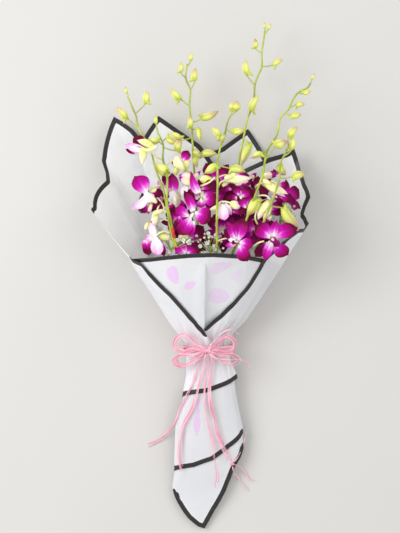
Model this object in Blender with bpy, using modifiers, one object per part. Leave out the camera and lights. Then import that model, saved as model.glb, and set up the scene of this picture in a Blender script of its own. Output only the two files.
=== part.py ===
# Orchid bouquet: dendrobium sprays and some gypsophila in sheets of bordered film, held by a raffia
# tie. It lies on its back. +X is to the right, +Y towards the spray tips, +Z up. The lengths
# in the tables are in millimetres, and MM turns them into metres.
import math

import bmesh
import bpy
from mathutils import Matrix, Vector

MM = 0.001
COLLECTION_NAME = "orchid_bouquet"

# The wrap is one long skin: a cone above the waist, and a flattened sleeve below it.
WAIST_Y = -97.0
WAIST_LEFT = -25.0
WAIST_RIGHT = 37.0
WAIST_HEIGHT = 40.0
CONE_LEFT_FLARE = 0.667  # how far the left side moves out for each unit of length
CONE_RIGHT_FLARE = 0.62
CONE_HEIGHT_FLARE = 0.555
FLAT_RISE = 0.03  # the part of the section's rise that is pressed flat on the surface
SLEEVE_SECTIONS = (  # y, left x, right x, height
    (-330.0, -5.0, 7.0, 10.0),
    (-303.0, -27.0, 20.0, 14.0),
    (-276.0, -42.0, 34.0, 18.0),
    (-255.0, -41.0, 44.0, 22.0),
    (-200.0, -37.0, 52.0, 30.0),
    (-167.0, -28.0, 46.0, 34.0),
    (-128.0, -24.0, 42.0, 38.0),
    (WAIST_Y, WAIST_LEFT, WAIST_RIGHT, WAIST_HEIGHT),
)
# The raffia passes under the waist, so the wrap's back is lifted there. y, height of the back
BACK_LIFT = (
    (-330.0, -2.4),
    (-276.0, 0.0),
    (-128.0, 0.0),
    (-112.0, 2.7),
    (WAIST_Y, 2.7),
    (22.0, 0.0),
    (400.0, 0.0),
)

FILM_THICKNESS = 0.6
LAYER_PITCH = 1.3  # from one layer of film to the next
COLUMN_STEP = 15
CONE_ROWS = (0.0, 0.16, 0.36, 0.6, 0.8, 1.0)

# Each sheet: its layer counted from outside, the heights of its upper edge by angle round the wrap
# (0 is the back, -90 the left side, 90 the right side and 180 the front), the heights of its lower
# edge, and the sleeve rows that it passes on the way down.
SHEETS = {
    "film_outer_left": {
        "layer": 0,
        "top": (
            (60, 20), (0, 92), (-31, 206), (-37, 180), (-46, 129), (-60, 104), (-75, 90), (-90, 83),
            (-114, 22), (-125, 17), (-144, -24), (-165, -56), (-175, -73), (-186, -88), (-265, -88),
        ),
        "bottom": ((60, -150), (-90, -157), (-180, -152), (-220, -144), (-265, -136)),
        "rows": (-112.0, -128.0),
        "extra_columns": (-31, -37, -46),
    },
    "film_outer_right": {
        "layer": 1,
        "top": (
            (-60, 15), (0, 100), (17, 138), (26, 153), (36, 166), (44, 137), (60, 102), (75, 74), (90, 66),
            (92, 58), (114, 60), (138, 23), (143, -19), (158, -43), (180, -66), (188, -80), (205, -88),
            (265, -88),
        ),
        "bottom": ((-60, -250), (0, -240), (90, -205), (135, -223), (180, -240), (215, -249), (265, -254)),
        "rows": (-112.0, -128.0, -167.0, -200.0),
        "extra_columns": (36, 138, 143),
    },
    "film_collar": {
        "layer": 2,
        "top": (
            (6, -50), (60, -50), (75, -30), (90, 18), (110, 22), (180, 29), (250, 22), (270, 18),
            (285, -30), (300, -50), (354, -50),
        ),
        "bottom": ((6, -330), (354, -330)),
        "rows": (-112.0, -128.0, -167.0, -200.0, -255.0, -276.0, -303.0),
        "extra_columns": (),
    },
    "film_liner_left": {
        "layer": 3,
        "top": (
            (-75, -10), (-60, 60), (-45, 100), (-30, 150), (-15, 207), (-8, 188), (-1, 170), (4, 146),
            (30, 90), (50, 40),
        ),
        "bottom": ((-75, -140), (50, -140)),
        "rows": (-112.0, -128.0),
        "extra_columns": (),
    },
    "film_liner_right": {
        "layer": 4,
        "top": (
            (-50, 50), (-30, 110), (0, 150), (7, 166), (15, 190), (23, 158), (30, 145), (45, 95), (60, 60),
            (75, 10),
        ),
        "bottom": ((-50, -140), (75, -140)),
        "rows": (-112.0, -128.0),
        "extra_columns": (),
    },
}

# The cut stems run side by side through the tie and on down the sleeve in one flat row.
BUNDLE_X = 6.0
BUNDLE_Z = 18.2
BUNDLE_PITCH = 5.4
BUNDLE_TOP_Y = -90.0
BUNDLE_BOTTOM_Y = -114.0
STEM_RADIUS = 2.2
TIP_RADIUS = 0.9
TAPE_RADIUS = 9.4
TAPE_THICKNESS = 0.9
TAPE_CENTRE_Y = -104.0
TAPE_WIDTH = 12.0
STEM_ROW_Z = 6.6

# Each spray: its place in the bundle (its angle there, None for the middle), the foot of its cut stem,
# its route from just above the bundle to its tip, and its buds. A bud is where its pedicel leaves the
# stem, where the bud starts, where it ends, and its width.
SPRAYS = {
    "spray_far_left": {
        "bundle_angle": 120,
        "foot": (-7.8, -276),
        "route": (
            (-26, 18, 72), (-36, 39, 75), (-40, 59, 75), (-43, 88, 74), (-47, 110, 73), (-52, 124, 72),
            (-60, 139, 71), (-65, 156, 70), (-70, 169, 69), (-78, 180, 69), (-84, 191, 68), (-87, 206, 66),
            (-90, 213, 64), (-98, 232, 62),
        ),
        "buds": (
            ((-97, 230, 62), (-98, 235, 62), (-101, 245, 62), 4),
            ((-88, 211, 66), (-75, 222, 66), (-73, 239, 68), 9),
            ((-85, 190, 68), (-97, 202, 68), (-112, 217, 72), 9),
        ),
    },
    "spray_left": {
        "bundle_angle": 180,
        "foot": (-13, -280),
        "route": (
            (-23, 14, 56), (-33, 40, 60), (-39, 69, 62), (-44, 91, 64), (-47, 105, 66), (-46, 123, 66),
            (-47, 135, 65), (-52, 151, 61), (-52, 169, 58), (-59, 185, 54), (-61, 194, 52),
        ),
        "buds": (
            ((-60, 190, 53), (-61, 196, 52), (-61, 209, 52), 5),
            ((-52, 169, 58), (-57, 173, 60), (-72, 177, 64), 8),
            ((-54, 175, 57), (-49, 178, 59), (-33, 171, 62), 8),
        ),
    },
    "spray_middle": {
        "bundle_angle": 240,
        "foot": (-2.6, -284),
        "route": (
            (-4, 18, 40), (-7, 59, 44), (-10, 98, 50), (-11, 124, 56), (-13, 150, 60), (-14, 169, 60),
            (-15, 189, 58), (-17, 208, 56), (-18, 224, 54), (-17, 241, 52), (-23, 257, 50), (-21, 275, 50),
        ),
        "buds": (
            ((-21, 272, 50), (-17, 278, 50), (-15, 290, 50), 5),
            ((-23, 256, 50), (-29, 263, 50), (-30, 278, 50), 6),
            ((-17, 240, 52), (-11, 252, 52), (-10, 270, 52), 8),
            ((-18, 221, 54), (-28, 228, 54), (-42, 243, 58), 9),
            ((-16, 199, 56), (-4, 202, 60), (20, 213, 64), 9),
            ((-16, 178, 58), (-29, 175, 62), (-44, 185, 66), 8),
            ((-13, 163, 60), (-4, 158, 64), (18, 157, 68), 9),
        ),
    },
    "spray_centre": {
        "bundle_angle": 60,
        "foot": (13, -274),
        "route": (
            (16, 23, 84), (17, 46, 88), (17, 77, 90), (18, 121, 90), (18, 141, 90), (21, 162, 89),
            (26, 175, 88), (31, 197, 87), (37, 208, 86),
        ),
        "buds": (
            ((36, 206, 86), (41, 211, 87), (43, 224, 90), 14),
            ((29, 188, 88), (37, 182, 90), (53, 188, 92), 8),
            ((25, 173, 88), (22, 178, 92), (10, 189, 96), 8),
        ),
    },
    "spray_tall": {
        "bundle_angle": 300,
        "foot": (7.8, -282),
        "route": (
            (22, 18, 31), (32, 66, 33), (41, 112, 36), (46, 144, 40), (48, 159, 42), (52, 177, 44),
            (54, 188, 45), (57, 203, 46), (63, 219, 46), (66, 231, 46), (67, 248, 46), (71, 260, 46),
            (76, 272, 46), (76, 290, 46), (78, 304, 46), (80, 318, 46),
        ),
        "buds": (
            ((80, 316, 46), (80, 321, 46), (80, 330, 46), 4),
            ((80, 314, 46), (84, 320, 46), (88, 329, 46), 4),
            ((76, 290, 46), (68, 295, 46), (67, 309, 46), 6),
            ((76, 272, 46), (90, 274, 46), (104, 281, 48), 7),
            ((67, 247, 46), (57, 260, 46), (56, 281, 46), 9),
            ((58, 206, 46), (60, 213, 49), (72, 235, 52), 9),
            ((50, 170, 43), (60, 168, 48), (58, 148, 52), 10),
        ),
    },
    "spray_right": {
        "bundle_angle": None,
        "foot": (2.6, -278),
        "route": (
            (34, 18, 56), (45, 46, 62), (57, 78, 68), (68, 108, 72), (75, 128, 74), (79, 148, 74),
            (82, 161, 73), (95, 182, 70), (99, 203, 68), (109, 213, 66), (115, 226, 66), (122, 236, 66),
            (135, 243, 66), (138, 248, 66),
        ),
        "buds": (
            ((138, 247, 66), (140, 253, 66), (143, 262, 66), 4),
            ((124, 237, 66), (128, 235, 67), (139, 238, 70), 6),
            ((112, 219, 66), (119, 221, 68), (131, 221, 70), 7),
            ((105, 209, 66), (112, 207, 68), (127, 208, 70), 8),
            ((82, 160, 73), (77, 158, 76), (61, 151, 78), 8),
        ),
    },
    "spray_far_right": {
        "bundle_angle": 0,
        "foot": (18.2, -266),
        "route": (
            (45, 14, 66), (57, 33, 74), (72, 58, 82), (81, 80, 86), (90, 103, 86), (97, 124, 86),
            (98, 143, 84), (103, 153, 84), (109, 165, 84),
        ),
        "buds": (
            ((108, 163, 84), (108, 178, 84), (121, 191, 86), 9),
            ((103, 153, 84), (112, 160, 86), (116, 178, 88), 8),
            ((97, 126, 86), (112, 126, 90), (131, 131, 94), 10),
            ((84, 88, 86), (98, 82, 92), (120, 66, 96), 9),
        ),
    },
}

# Each open flower: the spray that bears it, its centre, the way that it faces, and its width.
FLOWERS = {
    "flower_left_profile": ("spray_far_left", (-82, 163, 95), (-0.6, 0.6, 0.4), 40),
    "flower_left": ("spray_far_left", (-77, 104, 98), (-0.3, 0.0, 1.0), 52),
    "flower_left_inner": ("spray_left", (-36, 112, 92), (-0.1, 0.3, 1.0), 44),
    "flower_top_middle": ("spray_left", (-30, 150, 82), (0.1, 0.7, 0.7), 34),
    "flower_middle": ("spray_middle", (-8, 126, 104), (0.2, 0.4, 0.9), 46),
    "flower_heart": ("spray_middle", (0, 92, 97), (0.2, 0.0, 1.0), 42),
    "flower_round": ("spray_middle", (-8, 68, 112), (0.1, -0.3, 1.0), 46),
    "flower_inner_left": ("spray_left", (-38, 73, 97), (-0.4, -0.2, 0.9), 44),
    "flower_right_back": ("spray_far_right", (103, 112, 98), (0.8, 0.3, 0.5), 46),
    "flower_right_inner": ("spray_tall", (54, 112, 101), (0.0, 0.1, 1.0), 48),
    "flower_cream": ("spray_centre", (31, 83, 104), (-0.3, -0.2, 0.9), 44),
    "flower_half_open": ("spray_far_left", (-66, 77, 93), (-0.4, 0.5, 0.7), 28),
    "flower_lower_left": ("spray_far_left", (-64, 42, 96), (-0.6, -0.1, 0.8), 46),
    "flower_front": ("spray_centre", (40, 45, 113), (0.0, -0.1, 1.0), 54),
    "flower_front_right": ("spray_far_right", (92, 46, 111), (0.3, 0.0, 1.0), 54),
    "flower_bottom": ("spray_left", (-19, 27, 86), (-0.1, -0.2, 0.9), 36),
    "flower_deep_left": ("spray_left", (-86, 70, 60), (-0.8, 0.2, 0.5), 40),
    "flower_deep_middle": ("spray_middle", (16, 120, 66), (0.2, 0.3, 0.9), 36),
    "flower_deep_right": ("spray_right", (106, 99, 62), (0.8, 0.2, 0.5), 38),
    "flower_deep_front": ("spray_tall", (25, 60, 66), (0.1, -0.2, 0.9), 36),
    "flower_deep_centre": ("spray_middle", (12, 100, 82), (0.1, 0.2, 0.9), 40),
    "flower_upper_right": ("spray_right", (76, 130, 84), (0.3, 0.6, 0.7), 38),
    "flower_upper_middle": ("spray_centre", (28, 128, 100), (0.2, 0.7, 0.6), 36),
    "flower_mid_right": ("spray_far_right", (74, 88, 94), (0.0, 0.3, 0.9), 42),
    "flower_mid_left": ("spray_left", (-56, 95, 76), (-0.2, 0.1, 0.9), 40),
    "flower_cross_right": ("spray_right", (46, 82, 77), (0.1, 0.0, 1.0), 38),
    "flower_low_right": ("spray_far_right", (66, 60, 95), (0.1, 0.2, 0.9), 40),
    "flower_low_middle": ("spray_left", (-19, 46, 79), (0.0, -0.1, 1.0), 38),
}
PETAL_THICKNESS = 1.2
FLOWER_CUP = 5.0  # how far the petal tips stand in front of the flower's throat
FLOWER_COLUMN = 4.0  # how far the column stands up in the throat
FLOWER_SEAT = 1.4  # height of the pedicel's end in the hollow behind the column
PEDICEL_RADIUS = 1.1

# Each gypsophila sprig: its stem and the places of its tiny flowers.
GYPSOPHILA = {
    "gypsophila_left": (
        ((-14, -40, 46), (-19.8, -20, 55), (-26, 0, 65), (-45, 20, 84), (-38, 41, 97)),
        ((-33, 46, 102), (-25, 45, 104), (-17, 44, 104)),
    ),
    "gypsophila_middle": (
        ((7.2, -60, 39), (9.8, -20, 60.7), (11.9, 12, 78), (9, 36, 95)),
        ((6, 54, 100), (5, 42, 103), (19, 50, 100)),
    ),
    "gypsophila_right": (
        ((37.6, -20, 50), (48.5, 14, 66), (62, 33, 67), (84, 46, 67), (104, 62, 72)),
        ((123, 81, 80), (111, 79, 81), (117, 68, 84)),
    ),
}
GYPSOPHILA_STEM_RADIUS = 0.8
GYPSOPHILA_FLOWER_WIDTH = 6.0

# The raffia: a band round the waist, a knot, and strands on smooth routes. A strand starts on one of
# the knots, and a loop comes back to it.
RAFFIA_RADIUS = 1.1
RAFFIA_POINT_SPACING = 6.5
BAND_WIDTH = 10.0
BAND_THICKNESS = 2.0
BAND_GAP = 0.3
KNOT_GAP = 0.7
KNOTS = {  # centre, size
    "raffia_knot": ((4.0, -97.0, 48.3), (18.0, 12.0, 8.4)),
    "raffia_small_knot": ((38.0, -248.0, 18.8), (6.0, 6.0, 6.0)),
}
RAFFIA_LOOPS = {
    "raffia_loop_left_upper": (
        (-13, -85, 52), (-24, -77, 51), (-35, -82, 46), (-38, -93, 43), (-28, -100, 44), (-12, -97, 46.5),
    ),
    "raffia_loop_left_lower": (
        (-14, -103, 51), (-31, -103, 50), (-39, -111, 43), (-31, -119, 39), (-16, -114, 42), (-6, -106, 46),
    ),
    "raffia_loop_right_upper": (
        (20, -86, 52), (31, -79, 51), (41, -87, 46), (38, -97, 43), (27, -100, 44), (18, -97, 46.5),
    ),
    "raffia_loop_right_lower": (
        (22, -103, 51), (36, -103, 50), (45, -110, 43), (38, -116, 40), (26, -112, 42), (14, -106, 46),
    ),
}
# In the last number of each point, an end's height is counted from the wrap below it.
RAFFIA_ENDS = {
    "raffia_end_left_long": ("raffia_knot", (
        (-5, -110, 3.4), (-9, -122, 2), (-15, -141, 2), (-22, -156, 2), (-30, -173, 2), (-36, -190, 2),
        (-46, -206, 2), (-58, -218, 1.8), (-73, -225, 1.8),
    )),
    "raffia_end_left_short": ("raffia_knot", (
        (0.4, -113, 3.2), (-2, -125, 2), (-7, -149, 2), (-14, -173, 2), (-26, -196, 2), (-31, -219, 2),
        (-32, -240, 2), (-28, -258, 2),
    )),
    "raffia_end_centre_long": ("raffia_knot", (
        (6, -113, 3.2), (4, -130, 2), (1, -160, 2), (5, -190, 2), (12, -218, 2), (14, -240, 2),
        (18, -262, 2), (16, -280, 2),
    )),
    "raffia_end_right_long": ("raffia_knot", (
        (12, -110, 3.4), (9.5, -130, 2), (8, -158, 2), (13, -185, 2), (20, -212, 2), (28, -230, 2),
        (35.8, -243.6, 2.4),
    )),
    "raffia_end_knotted_low": ("raffia_small_knot", (
        (47, -252, 3), (55, -261, 2), (61, -270, 1.8), (68, -272, 1.8),
    )),
    "raffia_end_knotted_short": ("raffia_small_knot", (
        (40, -259, 3), (47, -269, 2), (54, -278, 2.4), (60, -285, 2),
    )),
    "raffia_end_knotted_high": ("raffia_small_knot", (
        (45, -240, 3.4), (50, -230, 3), (54, -218, 2.4), (56, -206, 2.4),
    )),
    "raffia_end_upper": ("raffia_knot", ((14, -85, 8), (24, -74, 9), (36, -70, 9), (47, -77, 9))),
    "raffia_end_curled": ("raffia_knot", (
        (17, -107, 13), (28, -109, 20), (40, -109, 28), (51, -110, 40), (59, -115, 36), (61, -122, 30),
    )),
}

FILM_WHITE = (0.82, 0.83, 0.87)
STEM_GREEN = (0.28, 0.4, 0.08)
PETAL_PURPLE = (0.42, 0.02, 0.32)
GYPSOPHILA_CREAM = (0.85, 0.86, 0.72)
RAFFIA_PINK = (0.85, 0.36, 0.47)
TAPE_GREEN = (0.2, 0.3, 0.12)


def between(table, key, column=1):
    """The table's value at this key, on straight lines between its rows, which may run up or down."""
    rows = table if table[0][0] < table[-1][0] else table[::-1]
    if key <= rows[0][0]:
        return rows[0][column]
    for low, high in zip(rows, rows[1:]):
        if key <= high[0]:
            share = (key - low[0]) / (high[0] - low[0])
            return low[column] + share * (high[column] - low[column])
    return rows[-1][column]


def wrap_section(y):
    """The wrap's centre line, half width, back and height at this distance along it."""
    back = between(BACK_LIFT, y)
    if y > WAIST_Y:
        rise = y - WAIST_Y
        left = WAIST_LEFT - CONE_LEFT_FLARE * rise
        right = WAIST_RIGHT + CONE_RIGHT_FLARE * rise
        height = WAIST_HEIGHT + CONE_HEIGHT_FLARE * rise
    else:
        left = between(SLEEVE_SECTIONS, y, 1)
        right = between(SLEEVE_SECTIONS, y, 2)
        height = between(SLEEVE_SECTIONS, y, 3)
    return (left + right) / 2, (right - left) / 2, back, height


def flattened(rise):
    return max(0.0, (rise - FLAT_RISE) / (1 - FLAT_RISE))


def wrap_point(angle, y, inset):
    """The point of the wrap at this angle round it and this far inside its outer face."""
    centre, half_width, back, height = wrap_section(y)
    turn = math.radians(angle)
    rise = flattened((1 - math.cos(turn)) / 2)
    return Vector((
        centre + (half_width - inset) * math.sin(turn),
        y,
        back + inset + (height - back - 2 * inset) * rise,
    ))


def height_over_wrap(x, y):
    """How high the wrap's front lies here, falling to the surface beside it."""
    centre, half_width, back, height = wrap_section(y)
    shoulder = 0.95 * half_width
    out = abs(x - centre)
    depth = math.sqrt(1 - (min(out, shoulder) / half_width) ** 2)
    on_wrap = back + (height - back) * flattened((1 + depth) / 2)
    return max(0.0, on_wrap - 1.3 * max(0.0, out - shoulder))


def smooth_route(points, spacing):
    """A smooth curve through the points, as points about this far apart."""
    knots = [Vector(point) for point in points]
    knots = [2 * knots[0] - knots[1], *knots, 2 * knots[-1] - knots[-2]]
    route = []
    for before, start, end, after in zip(knots, knots[1:], knots[2:], knots[3:]):
        steps = max(1, round((end - start).length / spacing))
        for step in range(steps):
            t = step / steps
            route.append(0.5 * (
                2 * start
                + (end - before) * t
                + (2 * before - 5 * start + 4 * end - after) * t**2
                + (3 * start - before - 3 * end + after) * t**3
            ))
    route.append(knots[-2])
    return route


def new_material(name, colour, roughness):
    material = bpy.data.materials.new(name)
    material.use_nodes = True
    shader = material.node_tree.nodes["Principled BSDF"]
    shader.inputs["Base Color"].default_value = (*colour, 1.0)
    shader.inputs["Roughness"].default_value = roughness
    shader.inputs["Metallic"].default_value = 0.0
    return material


def finish_part(part, collection, colour, roughness):
    for holder in list(part.users_collection):
        holder.objects.unlink(part)
    collection.objects.link(part)
    part.data.materials.append(new_material(part.name, colour, roughness))


def mesh_object(name, shape):
    mesh = bpy.data.meshes.new(name)
    shape.to_mesh(mesh)
    shape.free()
    part = bpy.data.objects.new(name, mesh)
    bpy.context.scene.collection.objects.link(part)
    return part


def skin_between(name, columns):
    """An open surface through columns of points, all with the same number of points."""
    shape = bmesh.new()
    grid = [[shape.verts.new(point * MM) for point in column] for column in columns]
    for left, right in zip(grid, grid[1:]):
        for row in range(len(left) - 1):
            shape.faces.new((left[row], right[row], right[row + 1], left[row + 1]))
    return mesh_object(name, shape)


def thicken(part, thickness, side):
    shell = part.modifiers.new("Shell", "SOLIDIFY")
    shell.thickness = thickness * MM
    shell.offset = side


def sheet_angles(sheet):
    """Angles of the sheet's columns: regular ones, with its corners in place of those close to them."""
    ends = sorted((sheet["top"][0][0], sheet["top"][-1][0]))
    fixed = [*ends, *sheet["extra_columns"]]
    regular = range(-360, 361, COLUMN_STEP)
    inner = [a for a in regular if ends[0] < a < ends[1] and min(abs(a - f) for f in fixed) > 4]
    return sorted(fixed + inner)


def add_sheet(name, sheet, collection):
    inset = sheet["layer"] * LAYER_PITCH
    columns = []
    for angle in sheet_angles(sheet):
        top = between(sheet["top"], angle)
        bottom = between(sheet["bottom"], angle)
        last = sheet["rows"][-1]
        levels = [WAIST_Y + share * (top - WAIST_Y) for share in reversed(CONE_ROWS)]
        levels += [*sheet["rows"], (last + bottom) / 2, bottom]
        columns.append([wrap_point(angle, y, inset) for y in levels])
    part = skin_between(name, columns)
    thicken(part, FILM_THICKNESS, -1)
    finish_part(part, collection, FILM_WHITE, 0.35)


def tube_object(name, route, radii, resolution):
    """A curve tube along the route, its radius changing evenly from the first to the last."""
    curve = bpy.data.curves.new(name, "CURVE")
    curve.dimensions = "3D"
    curve.bevel_depth = MM
    curve.bevel_resolution = resolution
    curve.use_fill_caps = True
    spline = curve.splines.new("POLY")
    spline.points.add(len(route) - 1)
    for index, point in enumerate(route):
        share = index / (len(route) - 1)
        spline.points[index].co = (*(point * MM), 1.0)
        spline.points[index].radius = radii[0] + share * (radii[1] - radii[0])
    part = bpy.data.objects.new(name, curve)
    bpy.context.scene.collection.objects.link(part)
    return part


def tube_mesh(name, route, radii):
    """The same tube as a closed mesh, which a Boolean can join."""
    guide = tube_object("guide", route, radii, 1)
    bpy.context.view_layer.update()
    evaluated = guide.evaluated_get(bpy.context.evaluated_depsgraph_get())
    mesh = bpy.data.meshes.new_from_object(evaluated)
    shape = bmesh.new()
    shape.from_mesh(mesh)
    bmesh.ops.remove_doubles(shape, verts=shape.verts, dist=1e-6)
    bmesh.ops.recalc_face_normals(shape, faces=shape.faces)
    part = mesh_object(name, shape)
    bpy.data.objects.remove(guide)
    bpy.data.meshes.remove(mesh)
    return part


def placed(start, end):
    """The matrix that stands a shape on the line from start to end, with its middle halfway."""
    line = Vector(end) - Vector(start)
    turn = Vector((0, 0, 1)).rotation_difference(line).to_matrix().to_4x4()
    return Matrix.Translation((Vector(start) + Vector(end)) / 2 * MM) @ turn


def add_rod(shape, start, end, radius):
    """A straight pedicel, sunk a little past both of its ends."""
    reach = (Vector(end) - Vector(start)).normalized() * 0.4
    bmesh.ops.create_cone(
        shape,
        cap_ends=True,
        segments=5,
        radius1=radius * MM,
        radius2=radius * MM,
        depth=((Vector(end) - Vector(start)).length + reach.length) * MM,
        matrix=placed(start, Vector(end) + reach),
    )


def add_bud(shape, start, end, width):
    """A bud: an egg with its wide end at the start."""
    length = (Vector(end) - Vector(start)).length
    made = bmesh.ops.create_uvsphere(shape, u_segments=6, v_segments=4, radius=1)
    for vert in made["verts"]:
        taper = 1 - 0.3 * vert.co.z
        vert.co = Vector((vert.co.x * width * taper, vert.co.y * width * taper, vert.co.z * length)) * MM / 2
    bmesh.ops.transform(shape, matrix=placed(start, end), verts=made["verts"])


def nearest_on(route, point):
    return min(route, key=lambda other: (other - Vector(point)).length)


def join_twigs(part, twigs, cutters):
    """Grows the twigs into the stem: one body, as they grew."""
    cutters.objects.link(twigs)
    bpy.context.scene.collection.objects.unlink(twigs)
    twigs.hide_render = True
    twigs.display_type = "WIRE"
    union = part.modifiers.new("Twigs", "BOOLEAN")
    union.operation = "UNION"
    union.solver = "EXACT"
    union.use_self = True
    union.object = twigs


def flower_frame(facing):
    return Vector((0, 0, 1)).rotation_difference(Vector(facing)).to_matrix().to_4x4()


def bundle_points(angle):
    """Where a stem enters and leaves the tape."""
    across = (0.0, 0.0)
    if angle is not None:
        turn = math.radians(angle)
        across = (BUNDLE_PITCH * math.cos(turn), BUNDLE_PITCH * math.sin(turn))
    x, z = BUNDLE_X + across[0], BUNDLE_Z + across[1]
    return (x, BUNDLE_BOTTOM_Y, z), (x, BUNDLE_TOP_Y, z)


def add_spray(name, spray, collection, cutters):
    foot = (*spray["foot"], STEM_ROW_Z)
    route = smooth_route((foot, *bundle_points(spray["bundle_angle"]), *spray["route"]), 24)
    part = tube_mesh(name, route, (STEM_RADIUS, TIP_RADIUS))
    fine_route = smooth_route(route, 3)
    twigs = bmesh.new()
    for leaving, start, end, width in spray["buds"]:
        add_rod(twigs, nearest_on(fine_route, leaving), start, 0.8)
        add_bud(twigs, start, end, width)
    for bearer, centre, facing, _ in FLOWERS.values():
        if bearer == name:
            seat = Vector(centre) + Vector(facing).normalized() * FLOWER_SEAT
            back = Vector(centre) - Vector(facing).normalized() * 8
            add_rod(twigs, nearest_on(fine_route, centre), back, PEDICEL_RADIUS)
            add_rod(twigs, back, seat - Vector(facing).normalized() * 0.4, PEDICEL_RADIUS)
    join_twigs(part, mesh_object(name + "_twigs", twigs), cutters)
    finish_part(part, collection, STEM_GREEN, 0.5)


def add_flower(name, centre, facing, width, collection):
    """Five rounded petals round a raised column, as one thin cupped shell."""
    shape = bmesh.new()
    column = shape.verts.new(Vector((0, 0, FLOWER_COLUMN)) * MM)
    rings = []
    for reach in (0.36, 1.0):
        ring = []
        for step in range(15):
            turn = math.radians(step * 24)
            lobe = 0.42 if step % 3 == 0 and reach == 1.0 else 1.0
            radius = width / 2 * reach * lobe
            cup = FLOWER_CUP * (reach * lobe) ** 2 - FLOWER_CUP * 0.36**2
            ring.append(shape.verts.new(Vector((radius * math.cos(turn), radius * math.sin(turn), cup)) * MM))
        rings.append(ring)
    throat, rim = rings
    for step in range(15):
        after = (step + 1) % 15
        shape.faces.new((column, throat[step], throat[after]))
        shape.faces.new((throat[step], rim[step], rim[after], throat[after]))
    part = mesh_object(name, shape)
    thicken(part, PETAL_THICKNESS, -1)
    part.matrix_world = Matrix.Translation(Vector(centre) * MM) @ flower_frame(facing)
    finish_part(part, collection, PETAL_PURPLE, 0.5)


def add_gypsophila(name, stem, heads, collection, cutters):
    route = smooth_route(stem, 20)
    part = tube_mesh(name, route, (GYPSOPHILA_STEM_RADIUS, GYPSOPHILA_STEM_RADIUS))
    twigs = bmesh.new()
    for head in heads:
        add_rod(twigs, route[-2], head, GYPSOPHILA_STEM_RADIUS * 0.8)
        made = bmesh.ops.create_icosphere(twigs, subdivisions=1, radius=GYPSOPHILA_FLOWER_WIDTH / 2 * MM)
        bmesh.ops.translate(twigs, vec=Vector(head) * MM, verts=made["verts"])
    join_twigs(part, mesh_object(name + "_twigs", twigs), cutters)
    finish_part(part, collection, GYPSOPHILA_CREAM, 0.7)


def add_tape(collection):
    """The tape that binds the stems: an open tube round the bundle, thickened inwards."""
    middle = Matrix.Translation(Vector((BUNDLE_X, TAPE_CENTRE_Y, BUNDLE_Z)) * MM)
    shape = bmesh.new()
    bmesh.ops.create_cone(
        shape,
        cap_ends=False,
        segments=20,
        radius1=TAPE_RADIUS * MM,
        radius2=TAPE_RADIUS * MM,
        depth=TAPE_WIDTH * MM,
        matrix=middle @ Matrix.Rotation(math.pi / 2, 4, "X"),
    )
    part = mesh_object("stem_tape", shape)
    thicken(part, TAPE_THICKNESS, -1)
    finish_part(part, collection, TAPE_GREEN, 0.6)


def add_band(collection):
    """The raffia wound round the waist, just outside the film."""
    shape = bmesh.new()
    levels = (WAIST_Y + BAND_WIDTH / 2, WAIST_Y - BAND_WIDTH / 2)
    ring = [
        [shape.verts.new(wrap_point(angle, y, -BAND_GAP) * MM) for y in levels]
        for angle in range(0, 360, COLUMN_STEP)
    ]
    for column, after in zip(ring, ring[1:] + ring[:1]):
        shape.faces.new((column[0], after[0], after[1], column[1]))
    part = mesh_object("raffia_band", shape)
    thicken(part, BAND_THICKNESS, 1)
    finish_part(part, collection, RAFFIA_PINK, 0.6)


def add_knot(name, centre, size, collection):
    shape = bmesh.new()
    made = bmesh.ops.create_uvsphere(shape, u_segments=12, v_segments=8, radius=0.5 * MM)
    bmesh.ops.scale(shape, vec=size, verts=made["verts"])
    part = mesh_object(name, shape)
    part.location = Vector(centre) * MM
    finish_part(part, collection, RAFFIA_PINK, 0.6)


def seat_on_knot(knot, towards):
    """The point just off the knot's surface, on the line from its centre to this point."""
    centre, size = Vector(KNOTS[knot][0]), KNOTS[knot][1]
    line = Vector(towards) - centre
    shares = [line[axis] / (size[axis] / 2) for axis in range(3)]
    surface = line / math.sqrt(sum(share * share for share in shares))
    return centre + surface + line.normalized() * KNOT_GAP


def add_strand(name, points, collection):
    route = smooth_route(points, RAFFIA_POINT_SPACING)
    part = tube_object(name, route, (RAFFIA_RADIUS, RAFFIA_RADIUS), 2)
    finish_part(part, collection, RAFFIA_PINK, 0.6)


def add_raffia(collection):
    add_band(collection)
    for name, (centre, size) in KNOTS.items():
        add_knot(name, centre, size, collection)
    for name, points in RAFFIA_LOOPS.items():
        start = seat_on_knot("raffia_knot", points[0])
        end = seat_on_knot("raffia_knot", points[-1])
        add_strand(name, (start, *points, end), collection)
    for name, (knot, points) in RAFFIA_ENDS.items():
        lifted = [(x, y, height_over_wrap(x, y) + lift) for x, y, lift in points]
        add_strand(name, (seat_on_knot(knot, lifted[0]), *lifted), collection)


def build():
    for thing in list(bpy.data.objects):
        bpy.data.objects.remove(thing)
    collection = bpy.data.collections.new(COLLECTION_NAME)
    cutters = bpy.data.collections.new("twigs_to_join")
    for group in (collection, cutters):
        bpy.context.scene.collection.children.link(group)
    for name, sheet in SHEETS.items():
        add_sheet(name, sheet, collection)
    for name, spray in SPRAYS.items():
        add_spray(name, spray, collection, cutters)
    for name, (_, centre, facing, width) in FLOWERS.items():
        add_flower(name, centre, facing, width, collection)
    for name, (stem, heads) in GYPSOPHILA.items():
        add_gypsophila(name, stem, heads, collection, cutters)
    add_tape(collection)
    add_raffia(collection)


build()
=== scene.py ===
import math
import random

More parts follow.
